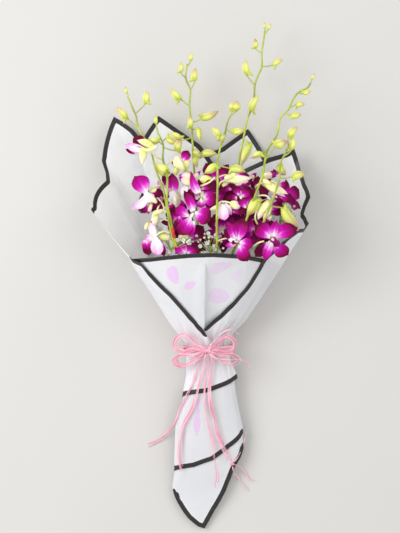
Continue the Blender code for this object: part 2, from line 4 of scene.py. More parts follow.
import bpy
import numpy as np
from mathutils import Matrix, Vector


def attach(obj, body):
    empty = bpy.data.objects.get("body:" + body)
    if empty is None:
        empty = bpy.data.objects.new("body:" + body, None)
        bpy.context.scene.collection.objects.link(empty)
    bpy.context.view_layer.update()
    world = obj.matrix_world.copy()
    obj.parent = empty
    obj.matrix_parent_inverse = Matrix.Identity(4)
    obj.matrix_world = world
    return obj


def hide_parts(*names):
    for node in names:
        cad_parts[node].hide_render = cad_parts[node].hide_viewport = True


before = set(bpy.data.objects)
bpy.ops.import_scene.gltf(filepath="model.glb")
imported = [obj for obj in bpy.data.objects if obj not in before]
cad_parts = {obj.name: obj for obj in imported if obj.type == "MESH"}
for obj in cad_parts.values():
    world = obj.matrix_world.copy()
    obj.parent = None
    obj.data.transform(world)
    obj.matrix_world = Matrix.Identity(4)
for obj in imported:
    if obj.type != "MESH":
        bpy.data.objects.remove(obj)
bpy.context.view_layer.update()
mm = 0.001
scene = bpy.context.scene
print("frame loaded:", len(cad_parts), "nodes")

cameraSetup = {
    "place": (-4.4, 11.8, 2550.0),
    "lens": 129.9,
    "sensor": 36.0,
}


def addCamera():
    data = bpy.data.cameras.new("bouquetCamera")
    data.lens = cameraSetup["lens"]
    data.sensor_width = cameraSetup["sensor"]
    camera = bpy.data.objects.new("bouquetCamera", data)
    camera.location = Vector(cameraSetup["place"]) * mm
    scene.collection.objects.link(camera)
    scene.camera = camera


addCamera()


# a shape gathers the points and faces of one piece; each point carries three marks for the
# materials: reach along the part, side across it and a tone
def newShape():
    return {"points": [], "faces": [], "finish": [], "marks": {"reach": [], "side": [], "tone": []}}


def addPoints(shape, points, reach, side, tone):
    first = len(shape["points"])
    shape["points"].extend(points)
    shape["marks"]["reach"].extend(reach)
    shape["marks"]["side"].extend(side)
    shape["marks"]["tone"].extend(tone)
    return first


def addFaces(shape, faces, finish):
    shape["faces"].extend(faces)
    shape["finish"].extend([finish] * len(faces))


def placePiece(name, mesh, nodes):
    piece = bpy.data.objects.new(name, mesh)
    scene.collection.objects.link(piece)
    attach(piece, "root")
    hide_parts(*nodes)
    return piece


def finishPiece(shape, name, materials, nodes):
    mesh = bpy.data.meshes.new(name)
    mesh.from_pydata([tuple(float(c) * mm for c in p) for p in shape["points"]], [], shape["faces"])
    for material in materials:
        mesh.materials.append(material)
    mesh.polygons.foreach_set("material_index", shape["finish"])
    mesh.polygons.foreach_set("use_smooth", [True] * len(shape["faces"]))
    for mark, values in shape["marks"].items():
        layer = mesh.attributes.new(mark, "FLOAT", "POINT")
        layer.data.foreach_set("value", [float(v) for v in values])
    mesh.validate()
    mesh.update()
    return placePiece(name, mesh, nodes)


# a smooth curve through the points, with about the given spacing
def smoothRoute(points, spacing):
    knots = [Vector(point) for point in points]
    knots = [2 * knots[0] - knots[1], *knots, 2 * knots[-1] - knots[-2]]
    route = []
    for before, start, end, after in zip(knots, knots[1:], knots[2:], knots[3:]):
        steps = max(1, round((end - start).length / spacing))
        for step in range(steps):
            t = step / steps
            route.append(0.5 * (
                2 * start
                + (end - before) * t
                + (2 * before - 5 * start + 4 * end - after) * t**2
                + (3 * start - before - 3 * end + after) * t**3
            ))
    route.append(knots[-2])
    return route


# two directions across the route at each point, carried along it without a twist
def routeFrames(route):
    tangents = []
    for index in range(len(route)):
        ahead = route[min(index + 1, len(route) - 1)] - route[max(index - 1, 0)]
        tangents.append(ahead.normalized() if ahead.length > 1e-9 else Vector((0, 0, 1)))
    side = tangents[0].orthogonal().normalized()
    frames = []
    for index, tangent in enumerate(tangents):
        if index:
            side = tangents[index - 1].rotation_difference(tangent) @ side
        side = (side - tangent * side.dot(tangent)).normalized()
        frames.append((side, tangent.cross(side)))
    return frames


def ringFaces(first, rings, sides):
    faces = []
    for ring in range(rings - 1):
        low, high = first + ring * sides, first + (ring + 1) * sides
        for step in range(sides):
            after = (step + 1) % sides
            faces.append((low + step, low + after, high + after, high + step))
    return faces


# a closed tube along a route; flat squeezes its section, turn twists it, ends shade it
def addTube(shape, route, radii, sides, finish, tone=0.0, flat=1.0, turn=0.0, ends=(0.0, 1.0)):
    frames = routeFrames(route)
    last = len(route) - 1
    points, reach, side = [], [], []
    for index, (point, (across, up)) in enumerate(zip(route, frames)):
        share = index / last
        radius = radii[index] if isinstance(radii, (list, tuple)) else radii
        spin = turn * share
        for step in range(sides):
            angle = 2 * math.pi * step / sides
            a, b = radius * math.cos(angle), radius * flat * math.sin(angle)
            a, b = a * math.cos(spin) - b * math.sin(spin), a * math.sin(spin) + b * math.cos(spin)
            points.append(point + across * a + up * b)
            reach.append(ends[0] + (ends[1] - ends[0]) * share)
            side.append(step / sides)
    tip = len(points)
    points += [route[0], route[-1]]
    reach += [ends[0], ends[1]]
    side += [0.5, 0.5]
    first = addPoints(shape, points, reach, side, [tone] * len(points))
    faces = ringFaces(first, len(route), sides)
    for step in range(sides):
        after = (step + 1) % sides
        faces.append((first + tip, first + after, first + step))
        faces.append((first + tip + 1, first + last * sides + step, first + last * sides + after))
    addFaces(shape, faces, finish)


# a thin closed petal or strip over a grid of points, its back set off along the normals
def addLeaf(shape, grid, thickness, finishes, tone, nearReach=0.0):
    rows, columns = grid.shape[:2]
    along, across = np.gradient(grid, axis=0), np.gradient(grid, axis=1)
    normal = np.cross(along, across)
    normal /= np.maximum(np.linalg.norm(normal, axis=2, keepdims=True), 1e-9)
    reach, side = np.meshgrid(
        np.linspace(nearReach, 1, rows), np.linspace(-1, 1, columns), indexing="ij"
    )
    first = addPoints(
        shape, grid.reshape(-1, 3).tolist(), reach.ravel(), side.ravel(), [tone] * (rows * columns)
    )
    under = {}
    backPoints, backReach, backSide = [], [], []
    base = len(shape["points"])
    for i in range(rows):
        for j in range(columns):
            if i in (0, rows - 1) or j in (0, columns - 1):
                under[i, j] = first + i * columns + j
            else:
                under[i, j] = base + len(backPoints)
                backPoints.append((grid[i, j] - normal[i, j] * thickness).tolist())
                backReach.append(reach[i, j])
                backSide.append(side[i, j])
    addPoints(shape, backPoints, backReach, backSide, [tone] * len(backPoints))
    front, back = [], []
    for i in range(rows - 1):
        for j in range(columns - 1):
            a = first + i * columns + j
            front.append((a, a + columns, a + columns + 1, a + 1))
            back.append((under[i, j], under[i, j + 1], under[i + 1, j + 1], under[i + 1, j]))
    addFaces(shape, front, finishes[0])
    addFaces(shape, back, finishes[1])


def newMaterial(name):
    material = bpy.data.materials.new(name)
    material.use_nodes = True
    return material, material.node_tree, material.node_tree.nodes["Principled BSDF"]


def addNode(tree, kind, inputs=None, **settings):
    node = tree.nodes.new(kind)
    for key, value in settings.items():
        setattr(node, key, value)
    for key, value in (inputs or {}).items():
        socket = node.inputs[key]
        if isinstance(value, bpy.types.NodeSocket):
            tree.links.new(value, socket)
        else:
            socket.default_value = value
    return node


def markNode(tree, name):
    return addNode(tree, "ShaderNodeAttribute", attribute_name=name).outputs["Fac"]


def placeNode(tree):
    return addNode(tree, "ShaderNodeTexCoord").outputs["Object"]


def mathNode(tree, operation, *values, clamp=False):
    return addNode(
        tree, "ShaderNodeMath", dict(enumerate(values)), operation=operation, use_clamp=clamp
    ).outputs[0]


def mixColour(tree, share, first, second):
    node = addNode(tree, "ShaderNodeMix", data_type="RGBA")
    for index, value in ((0, share), (6, first), (7, second)):
        if isinstance(value, bpy.types.NodeSocket):
            tree.links.new(value, node.inputs[index])
        else:
            node.inputs[index].default_value = value
    return node.outputs[2]


def rampNode(tree, value, stops):
    ramp = addNode(tree, "ShaderNodeValToRGB", {"Fac": value})
    elements = ramp.color_ramp.elements
    while len(elements) > 1:
        elements.remove(elements[-1])
    elements[0].position, elements[0].color = stops[0][0], (*stops[0][1], 1)
    for position, colour in stops[1:]:
        elements.new(position).color = (*colour, 1)
    return ramp.outputs["Color"]


def newGroup(name, numbers, output, vectors=()):
    group = bpy.data.node_groups.new(name, "ShaderNodeTree")
    for labels, kind in ((numbers, "NodeSocketFloat"), (vectors, "NodeSocketVector")):
        for label in labels:
            group.interface.new_socket(label, in_out="INPUT", socket_type=kind)
    group.interface.new_socket(output, in_out="OUTPUT", socket_type="NodeSocketFloat")
    return group, group.nodes.new("NodeGroupInput").outputs, group.nodes.new("NodeGroupOutput").inputs[0]


def cloudGroup():
    group, given, result = newGroup("cloud", ("Scale", "Detail"), "Cloud")
    noise = addNode(group, "ShaderNodeTexNoise", {
        "Vector": placeNode(group), "Scale": given["Scale"], "Detail": given["Detail"],
    })
    group.links.new(noise.outputs["Fac"], result)
    return group


def veinGroup():
    group, given, result = newGroup("veins", ("Side", "Sway", "Count"), "Vein")
    wave = mathNode(group, "MULTIPLY_ADD", given["Side"], given["Count"], given["Sway"])
    wave = mathNode(group, "ABSOLUTE", mathNode(group, "SINE", wave))
    group.links.new(mathNode(group, "POWER", mathNode(group, "SUBTRACT", 1.0, wave), 2.5), result)
    return group


cloudEffect, veinEffect = cloudGroup(), veinGroup()


def cloudNode(tree, scale, detail=3.0):
    node = addNode(tree, "ShaderNodeGroup", node_tree=cloudEffect)
    node.inputs["Scale"].default_value = scale
    node.inputs["Detail"].default_value = detail
    return node.outputs[0]


def veinNode(tree, side, sway, count):
    node = addNode(tree, "ShaderNodeGroup", node_tree=veinEffect)
    for label, value in (("Side", side), ("Sway", sway)):
        tree.links.new(value, node.inputs[label])
    node.inputs["Count"].default_value = count
    return node.outputs[0]


def bumpInto(tree, shader, height, strength, distance):
    bump = addNode(tree, "ShaderNodeBump", {"Height": height, "Strength": strength, "Distance": distance})
    tree.links.new(bump.outputs["Normal"], shader.inputs["Normal"])


def setFinish(shader, roughness, through=0.0, depth=0.001):
    shader.inputs["Roughness"].default_value = roughness
    shader.inputs["Subsurface Weight"].default_value = through
    shader.inputs["Subsurface Scale"].default_value = depth


def rgb(*levels):
    shares = [level / 255 for level in levels]
    return tuple(((s + 0.055) / 1.055) ** 2.4 if s > 0.0405 else s / 12.92 for s in shares)


wrapSkin = {
    # y, left x, right x, height of the front, height of the back
    "sections": (
        (-332, -43, 45, 9, -1.5),
        (-303, -43, 45, 13, -1.0),
        (-276, -44.6, 45, 18, 0.0),
        (-255, -41, 47, 22, 0.0),
        (-240, -41, 53.5, 24, 0.0),
        (-228, -40.5, 57, 26, 0.0),
        (-200, -39.5, 54.5, 30, 0.0),
        (-167, -30.5, 47.5, 34, 0.0),
        (-128, -24, 42, 38, 0.0),
        (-112, -24.5, 38, 39, 2.7),
        (-97, -25, 37, 40, 2.7),
        (-90, -26, 37.5, 43, 2.6),
        (-82, -31, 39, 47, 2.4),
        (-73, -40, 44, 52.5, 2.2),
        (-60, -48.5, 58, 60, 2.0),
        (10, -92, 103, 99, 0.6),
        (22, -98, 110, 106, 0.0),
        (58, -126, 133, 126, 0.0),
        (83, -145, 148.6, 140, 0.0),
        (400, -356.4, 345.1, 316, 0.0),
    ),
    "flatRise": 0.03,
    "creases": (
        -270, -235, -206, -180, -152, -122, -90, -43.5, -25.5, -4, 16, 41, 66, 90, 120, 148, 180,
        207, 236, 270,
    ),
    "creaseShare": 0.9,
    "sleeveCreases": 0.45,
    "waistY": -97,
    # gathers under the tie, and the longer pleats above them: depth, centre, reach
    "gathers": (3.2, -91, 34.0),
    "pleats": (1.8, -45, 55.0),
}


def wrapSection(y, table=wrapSkin["sections"]):
    places, *edges = np.array(table, float).T
    left, right, height, back = (np.interp(y, places, edge) for edge in edges)
    return (left + right) / 2, (right - left) / 2, back, height


# share of the wrap's height at an angle round it: 0 at the middle of the back, 180 at the front
def riseAt(angle):
    turn = np.radians(angle)
    return np.maximum(0.0, ((1 - np.cos(turn)) / 2 - wrapSkin["flatRise"]) / (1 - wrapSkin["flatRise"]))


# the same, with flat faces from crease to crease
def creasedRise(angle):
    creases = np.array(wrapSkin["creases"], float)
    index = np.clip(np.searchsorted(creases, angle) - 1, 0, len(creases) - 2)
    low, high = creases[index], creases[index + 1]
    lowSine, highSine, sine = np.sin(np.radians(low)), np.sin(np.radians(high)), np.sin(np.radians(angle))
    between = highSine - lowSine
    share = np.clip((sine - lowSine) / np.where(abs(between) < 1e-6, 1, between), 0, 1)
    return riseAt(low) * (1 - share) + riseAt(high) * share


def smoothStep(low, high, value):
    t = np.clip((value - low) / (high - low), 0, 1)
    return t * t * (3 - 2 * t)


# points of the film at an angle round the wrap and a place along it, set in by the inset
def skinPoints(angle, y, inset):
    centre, half, back, height = wrapSection(y)
    creased = wrapSkin["creaseShare"] * smoothStep(8, 40, abs(y - wrapSkin["waistY"]))
    creased = creased * np.where(y < wrapSkin["waistY"], wrapSkin["sleeveCreases"], 1.0)
    rise = (1 - creased) * riseAt(angle) + creased * creasedRise(angle)
    turn = np.radians(angle)
    ripple = (
        0.5 + 0.28 * np.sin(turn * 11 + 0.9) + 0.2 * np.sin(turn * 19 + 2.2) + 0.1 * np.sin(turn * 31 + 0.3)
    )
    wave = 0.5 + 0.5 * np.sin(turn * 7 + 0.4)
    pull = inset
    for (depth, middle, reach), shape in ((wrapSkin["gathers"], ripple), (wrapSkin["pleats"], wave)):
        pull = pull + depth * np.exp(-((y - middle) / reach) ** 2) * shape
    x = centre + (half - pull) * np.sin(turn)
    z = back + inset + (height - back - inset - pull) * rise
    return x, y, z


raffia = {
    "pointSpacing": 5.0,
    "strandSpacing": 2.4,
    "strandWidth": 0.75,
    "loneStrand": 1.3,
    "strandCounts": {
        "raffia_end_left_long": 3, "raffia_end_left_short": 5,
        "raffia_end_centre_long": 2, "raffia_end_right_long": 6,
    },
    "strandFlat": 0.42,
    "loopStrands": 10,
    "loopSpread": 2.2,
    "loopGrowth": (0.91, 0.14),
    "bundleSpread": 3.0,
    "loneSpread": 0.4,
    "cordWidths": {"loop": 7.5, "bundle": 5.5, "lone": 2.2},
    "lowest": 0.8,
    # beside the wrap an end sinks by this much for each millimetre outwards
    "sideDrop": 1.3,
    "knotGap": 0.7,
    "band": {"windings": 7, "firstY": -101.2, "pitch": 1.45, "radius": 1.0, "wobble": 1.1},
    # centre, size, strands, seed
    "knots": {
        "raffia_knot": ((4.0, -97.0, 48.3), (18.0, 12.0, 8.4), 9, 3),
        "raffia_small_knot": ((38.0, -248.0, 18.8), (6.0, 6.0, 6.0), 4, 4),
    },
    "loops": {
        "raffia_loop_left_upper": (
            (-13, -85, 52), (-24, -77, 51), (-35, -82, 46), (-38, -93, 43), (-28, -100, 44),
            (-12, -97, 46.5),
        ),
        "raffia_loop_left_lower": (
            (-14, -103, 51), (-31, -103, 50), (-39, -111, 43), (-31, -119, 39), (-16, -114, 42),
            (-6, -106, 46),
        ),
        "raffia_loop_right_upper": (
            (20, -86, 52), (31, -79, 51), (41, -87, 46), (38, -97, 43), (27, -100, 44), (18, -97, 46.5),
        ),
        "raffia_loop_right_lower": (
            (22, -103, 51), (36, -103, 50), (45, -110, 43), (38, -116, 40), (26, -112, 42), (14, -106, 46),
        ),
    },
    # in the last number of each point, an end's height is counted from the wrap below it
    "ends": {
        "raffia_end_left_long": ("raffia_knot", (
            (-5, -110, 3.4), (-9, -122, 2), (-15, -141, 2), (-22, -156, 2), (-30, -173, 2), (-36, -190, 2),
            (-46, -206, 2), (-58, -218, 1.8), (-73, -225, 1.8),
        )),
        "raffia_end_left_short": ("raffia_knot", (
            (0.4, -113, 3.2), (-2, -125, 2), (-7, -149, 2), (-14, -173, 2), (-26, -196, 2), (-31, -219, 2),
            (-32, -240, 2), (-28, -258, 2),
        )),
        "raffia_end_centre_long": ("raffia_knot", (
            (6, -113, 3.2), (4, -130, 2), (1, -160, 2), (5, -190, 2), (12, -218, 2), (14, -240, 2),
            (18, -262, 2), (16, -280, 2),
        )),
        "raffia_end_right_long": ("raffia_knot", (
            (12, -110, 3.4), (9.5, -130, 2), (8, -158, 2), (13, -185, 2), (20, -212, 2), (28, -230, 2),
            (35.8, -243.6, 2.4),
        )),
        "raffia_end_knotted_low": ("raffia_small_knot", (
            (47, -252, 3), (55, -261, 2), (61, -270, 1.8), (68, -272, 1.8),
        )),
        "raffia_end_knotted_short": ("raffia_small_knot", (
            (40, -259, 3), (47, -269, 2), (54, -278, 2.4), (60, -285, 2),
        )),
        "raffia_end_knotted_high": ("raffia_small_knot", (
            (45, -240, 3.4), (50, -230, 3), (54, -218, 2.4), (56, -206, 2.4),
        )),
        "raffia_end_upper": ("raffia_knot", ((14, -85, 8), (24, -74, 9), (36, -70, 9), (47, -77, 9))),
        "raffia_end_curled": ("raffia_knot", (
            (17, -107, 13), (28, -109, 20), (40, -109, 28), (51, -110, 40), (59, -115, 36), (61, -122, 30),
        )),
    },
}
# the plain wrap that the ends lie on: y, left x, right x, height, height of the back
plainSections = (
    (-330, -5, 7, 10, -2.4), (-303, -27, 20, 14, -1.2), (-276, -42, 34, 18, 0), (-255, -41, 44, 22, 0),
    (-200, -37, 52, 30, 0), (-167, -28, 46, 34, 0), (-128, -24, 42, 38, 0), (-112, -24.5, 39.5, 39, 2.7),
    (-97, -25, 37, 40, 2.7), (22, -104.4, 110.8, 106, 0), (400, -356.5, 345.1, 315.8, 0),
)


def heightOverWrap(x, y):
    centre, half, back, height = wrapSection(y, plainSections)
    shoulder = 0.95 * half
    out = abs(x - centre)
    depth = math.sqrt(1 - (min(out, shoulder) / half) ** 2)
    flat = wrapSkin["flatRise"]
    onWrap = back + (height - back) * max(0.0, ((1 + depth) / 2 - flat) / (1 - flat))
    return max(0.0, onWrap - raffia["sideDrop"] * max(0.0, out - shoulder))


# the point just off a knot's surface where a cord that heads for the given point starts
def seatOnKnot(knot, towards):
    centre, size, *_ = raffia["knots"][knot]
    centre = Vector(centre)
    line = Vector(towards) - centre
    shares = [line[axis] / (size[axis] / 2) for axis in range(3)]
    surface = line / math.sqrt(sum(share * share for share in shares))
    return centre + surface + line.normalized() * raffia["knotGap"]


def raffiaMaterial():
    material, tree, shader = newMaterial("raffiaPink")
    along, around = markNode(tree, "reach"), markNode(tree, "side")
    patch = cloudNode(tree, 60.0, 2.0)
    fibre = addNode(tree, "ShaderNodeCombineXYZ", {
        "X": mathNode(tree, "MULTIPLY", around, 14.0), "Y": mathNode(tree, "MULTIPLY", along, 3.0),
    }).outputs[0]
    streak = addNode(tree, "ShaderNodeTexNoise", {"Vector": fibre, "Scale": 1.6, "Detail": 3.0}).outputs[0]
    share = mathNode(tree, "MULTIPLY_ADD", streak, 0.6, mathNode(tree, "MULTIPLY", patch, 0.4))
    share = mathNode(tree, "MULTIPLY_ADD", markNode(tree, "tone"), 0.14, share)
    colour = rampNode(tree, share, (
        (0.35, rgb(232, 142, 168)), (0.52, rgb(250, 178, 200)), (0.72, rgb(255, 216, 226)),
    ))
    tree.links.new(colour, shader.inputs["Base Color"])
    setFinish(shader, 0.5)
    bumpInto(tree, shader, streak, 0.5, 0.0004)
    return material


pinkFinish = raffiaMaterial()


# strands round a route; those of a loop lie nested about the knot, from small to large
def addStrands(shape, route, count, spread, seed, about=None):
    chance = random.Random(seed)
    frames = routeFrames(route)
    last = len(route) - 1
    smallest, growth = raffia["loopGrowth"]
    for strand in range(count):
        turn = 2 * math.pi * strand / count + chance.uniform(-0.4, 0.4)
        sway = [chance.uniform(0, 6.28) for _ in range(3)]
        out = spread * (1.0 if count > 1 else 0.4) * chance.uniform(0.5, 1.0)
        grown = smallest + growth * (strand + 0.5) / count
        width = raffia["strandWidth"] * (1.0 if count > 1 else raffia["loneStrand"])
        moved, radii = [], []
        for index, (point, (across, up)) in enumerate(zip(route, frames)):
            share = index / last
            if about:
                hold = min(1.0, 5 * share + 0.2, 5 * (1 - share) + 0.2)
                point = about + (point - about) * (1 + (grown - 1) * hold)
            else:
                hold = 0.3 + 0.7 * share
            a = out * hold * (math.cos(turn) + 0.35 * math.sin(sway[0] + share * 5))
            b = out * hold * (0.8 * math.sin(turn) + 0.3 * math.sin(sway[1] + share * 6))
            moved.append(point + across * a + up * b)
            radii.append(width * (0.86 + 0.14 * math.sin(sway[2] + share * 23)))
        if strand and not about:
            moved = moved[:len(moved) - chance.randint(0, 4)]
        moved = [Vector((p.x, p.y, max(p.z, raffia["lowest"]))) for p in moved]
        tone, twist = chance.random(), chance.uniform(4, 12)
        addTube(shape, moved, radii, 6, 0, tone=tone, flat=raffia["strandFlat"], turn=twist)


def addCord(name, points, count, spread, seed, about=None):
    route = smoothRoute(points, raffia["pointSpacing"])
    shape = newShape()
    addStrands(shape, smoothRoute(route, raffia["strandSpacing"]), count, spread, seed, about)
    piece = finishPiece(shape, name + "_strands", [pinkFinish], [name])


def addKnot(name, centre, size, strands, seed):
    shape = newShape()
    chance = random.Random(seed)
    half = Vector(size) / 2 * 0.62
    turns = [math.pi * step / 8 for step in range(9)]
    core = [Vector(centre) + Vector((-math.cos(turn) * half.x * 0.86, 0, 0)) for turn in turns]
    radii = [max(0.4, math.sin(turn) ** 0.5 * half.z * 0.8) for turn in turns]
    addTube(shape, core, radii, 12, 0, flat=half.y / half.z)
    for strand in range(strands):
        x = ((strand + 0.5) / strands - 0.5) * 1.5 * half.x
        ring = math.sqrt(max(0.1, 1 - (x / half.x) ** 2))
        lean = chance.uniform(-0.9, 0.9)
        loop = []
        for step in range(25):
            t = 2 * math.pi * step / 24
            loop.append(Vector(centre) + Vector((
                x + lean * half.y * math.sin(t), half.y * 0.92 * ring * math.cos(t),
                half.z * 0.9 * ring * math.sin(t),
            )))
        radius = raffia["strandWidth"] * (0.8 if size[0] > 10 else 0.6)
        addTube(shape, loop, radius, 6, 0, flat=0.55, tone=chance.random())
    return finishPiece(shape, name + "_wraps", [pinkFinish], [name])


def addBand():
    band = raffia["band"]
    shape = newShape()
    chance = random.Random(41)
    for winding in range(band["windings"]):
        y = band["firstY"] + winding * band["pitch"]
        out = 1.0 + 0.7 * (winding % 2)
        centre, half, back, height = wrapSection(y)
        wobble = chance.uniform(0, 6.28)
        loop = []
        for angle in range(0, 361, 5):
            turn = math.radians(angle)
            loop.append(Vector((
                centre + (half + out) * math.sin(turn), y + band["wobble"] * math.sin(2 * turn + wobble),
                back - out + (height - back + 2 * out) * float(riseAt(angle)),
            )))
        addTube(shape, loop, band["radius"], 6, 0, flat=0.6, tone=chance.random(), turn=6.28)
    finishPiece(shape, "raffia_band_windings", [pinkFinish], ["raffia_band"])


def addRaffia():
    knot = Vector(raffia["knots"]["raffia_knot"][0])
    for index, (name, points) in enumerate(raffia["loops"].items()):
        ends = [seatOnKnot("raffia_knot", points[end]).lerp(knot, 0.55) for end in (0, -1)]
        addCord(
            name, (ends[0], *points, ends[1]), raffia["loopStrands"], raffia["loopSpread"],
            10 + index, about=knot,
        )
    addKnot("raffia_knot", *raffia["knots"]["raffia_knot"])
    smallKnot = addKnot("raffia_small_knot", *raffia["knots"]["raffia_small_knot"])
    for index, (name, (start, points)) in enumerate(raffia["ends"].items()):
        lifted = [(x, y, heightOverWrap(x, y) + lift) for x, y, lift in points]
        count = raffia["strandCounts"].get(name, 1)
        spread = raffia["bundleSpread"] if count > 1 else raffia["loneSpread"]
        addCord(
            name, (seatOnKnot(start, lifted[0]), *lifted), count, spread,
            20 + index,
        )
    addBand()
    print("raffia done")


addRaffia()

# inset and lift keep the sheets apart; sides, and the top and bottom outside the bare ranges, have
# the dark border; top and bottom: angle round the wrap, y; flat and area: metres, square metres
filmSheets = {
    "film_liner_right": {
        "inset": 0.4, "lift": 0, "flat": (0.35, 0.2), "area": 0.045, "sides": (True, True),
        "top": (
            (-50, 50), (-30, 110), (-10, 140), (3, 164), (5, 166), (7, 169), (16, 194), (24, 161),
            (26, 153), (45, 95), (60, 60), (75, 10),
        ),
        "bottom": (
            (-50, -140), (0, -150), (75, -136),
        ),
        "bareTop": (),
        "bareBottom": (),
    },
    "film_outer_left": {
        "inset": 1.4, "lift": 3, "flat": (0.38, 0.27), "area": 0.058, "sides": (False, True),
        "top": (
            (60, 20), (30, 60), (0, 120), (-20, 166), (-24, 185), (-25, 192), (-28, 202), (-31, 209),
            (-42, 163), (-45, 150), (-46, 135), (-48, 124), (-75, 89), (-90, 84), (-94, 60), (-98, 40),
            (-104, 22), (-119, 17), (-124, 9), (-128, 1), (-132, -8), (-136, -16), (-141, -24),
            (-146, -34), (-151, -43), (-158, -53), (-167, -63), (-179, -73), (-187, -86), (-188, -97),
            (-272, -97),
        ),
        "bottom": (
            (60, -150), (0, -158), (-90, -160), (-101, -159), (-174, -153), (-207, -146), (-268, -135),
        ),
        "bareTop": ((-105, -89), (-272, -180.5)),
        "bareBottom": (),
    },
    "film_outer_right": {
        "inset": 2.6, "lift": 6, "flat": (0.44, 0.28), "area": 0.061, "sides": (False, False),
        "top": (
            (-24, 30), (-12, 80), (0, 105), (10, 122), (17, 140), (27, 155), (34, 161), (37, 167),
            (45, 138), (52, 120), (62, 102), (63, 89), (65, 80), (76, 71), (90, 66), (96, 61),
            (110, 60), (125, 42), (136, 21), (136.5, 14), (137, 7), (138, 1), (139, -6), (140, -12),
            (142, -18), (146, -26), (150, -34), (156, -42), (162, -50), (171, -58), (179, -66),
            (187, -76), (192, -97), (265, -97),
        ),
        "bottom": (
            (-24, -240), (0, -235), (50, -218), (82, -208), (101, -208), (145, -226), (171, -243),
            (202, -252), (259, -258), (270, -255),
        ),
        "bareTop": ((181, 270),),
        "bareBottom": (),
    },
    "film_collar": {
        "inset": 3.9, "lift": 0, "flat": (0.37, 0.25), "area": 0.054, "sides": (False, False),
        "top": (
            (6, -50), (60, -50), (75, -30), (90, 12), (115, 18), (136, 22), (157, 27), (176, 29),
            (193, 28), (228, 23), (270, 21), (270.5, 15), (285, -30), (300, -50), (354, -50),
        ),
        "bottom": (
            (6, -190), (40, -215), (60, -228), (90, -226), (90.5, -232), (104, -246), (134, -284),
            (160, -311), (179, -335), (192, -332), (203, -326), (212, -321), (220, -315), (232, -306),
            (245, -297), (264, -284), (272, -284), (285, -288), (300, -290), (330, -290), (354, -200),
        ),
        "bareTop": ((0, 80), (280, 360)),
        "bareBottom": ((300, 360), (0, 60)),
        # angles between which the border thins out, below the given y
        "fade": (226, 279, -240),
    },
    "film_liner_left": {
        "inset": 5.2, "lift": 9, "flat": (0.35, 0.18), "area": 0.032, "sides": (False, False),
        "top": (
            (-30, -60), (-28, 60), (-27, 112), (-26, 145), (-24, 165), (-22, 183), (-15, 210),
            (-8, 190), (-1, 172), (4, 148), (9, 135), (25, 100), (50, 40),
        ),
        "bottom": (
            (-30, -140), (50, -140),
        ),
        "bareTop": ((-70, -22.5), (9.5, 60)),
        "bareBottom": (),
    },
}
filmLook = {
    "thickness": 0.25,
    "borderWidth": 6.0,
    "edgeSteps": (0, 1.6, 3.2, 4.8, 6.2, 8, 10.5, 14),
    "innerRows": 34,
    "columnDegrees": 2.6,
    "columnRise": 3.2,
    "columnDrop": 4.0,
    # range of angles with close columns: the collar's pleat
    "closeColumns": {"film_collar": (174.0, 186.0, 0.4)},
    # the pleat down the front of the collar: a valley beside a lower ridge
    "collarPleat": {
        "x": 1.2, "lean": 0.016, "depth": 6.5, "reach": 20.0, "ridge": 2.4, "ridgeReach": 9.0,
    },
    # top edges flutter at the back of the wrap: reach, height, phase for each degree round it
    "flutter": (26.0, 2.2, 0.19),
    # bulge of the left sheet's front edge just above the tie: height, angle, reach
    "edgeBulge": (2.6, -183, 9.0),
    # sideways shift of its far end below the tie: distance, first angle, degrees
    "endShift": (4.5, -245, 27),
    # the fold across the left wing: its ridge, and the widths of the slopes on both sides
    "wingFold": {"from": (-122, 130), "to": (-74, 40), "height": 12, "leftWidth": 32, "rightWidth": 10},
    # petals that press on the film from inside: x, y, half length, half width, turn, strength
    "showThrough": {
        "film_collar": (
            (-38.5, 0, 12.5, 6.5, -62, 0.9), (-17, -12, 9.5, 5, 22, 0.8), (24, 12, 14, 6.5, 12, 0.5),
            (44, 0, 10, 7, 60, 0.3), (20, -26, 13, 9, -20, 0.55),
        ),
        "film_outer_right": ((-8, -186, 25, 4.2, 88, 0.75),),
    },
}


# angles of a sheet's columns, close where its edge is steep, and its top and bottom there
def columnAngles(name):
    sheet = filmSheets[name]
    topAngles, topYs = np.array(sorted(sheet["top"])).T
    bottomAngles, bottomYs = np.array(sorted(sheet["bottom"])).T
    low, high = max(topAngles[0], bottomAngles[0]), min(topAngles[-1], bottomAngles[-1])
    corners = {a for a in (*topAngles, *bottomAngles, *wrapSkin["creases"], low, high) if low <= a <= high}
    closeLow, closeHigh, closeStep = filmLook["closeColumns"].get(name, (0, 0, 1))
    if closeHigh:
        corners |= {closeLow, closeHigh}
    corners = sorted(corners)
    angles = [corners[0]]
    for low, high in zip(corners, corners[1:]):
        if high - low < 0.02:
            continue
        jump = abs(np.interp(high, topAngles, topYs) - np.interp(low, topAngles, topYs))
        drop = abs(np.interp(high, bottomAngles, bottomYs) - np.interp(low, bottomAngles, bottomYs))
        widest = closeStep if closeLow <= low < closeHigh else filmLook["columnDegrees"]
        needed = ((high - low) / widest, jump / filmLook["columnRise"], drop / filmLook["columnDrop"])
        steps = math.ceil(max(needed))
        angles += [low + (high - low) * (s + 1) / steps for s in range(steps)]
    angles = np.array(angles)
    return angles, np.interp(angles, topAngles, topYs), np.interp(angles, bottomAngles, bottomYs)


# rows along the sheet, close beside both edges so that the border is sharp
def rowLevels(top, bottom):
    edge = np.array(filmLook["edgeSteps"], float)
    length = top - bottom
    scale = np.minimum(1.0, length * 0.4 / edge[-1])
    down = top[None, :] - edge[:, None] * scale[None, :]
    up = bottom[None, :] + edge[::-1, None] * scale[None, :]
    inner = np.linspace(0, 1, filmLook["innerRows"] + 2)[1:-1]
    middle = down[-1][None, :] + (up[0] - down[-1])[None, :] * inner[:, None]
    return np.concatenate([down, middle, up])


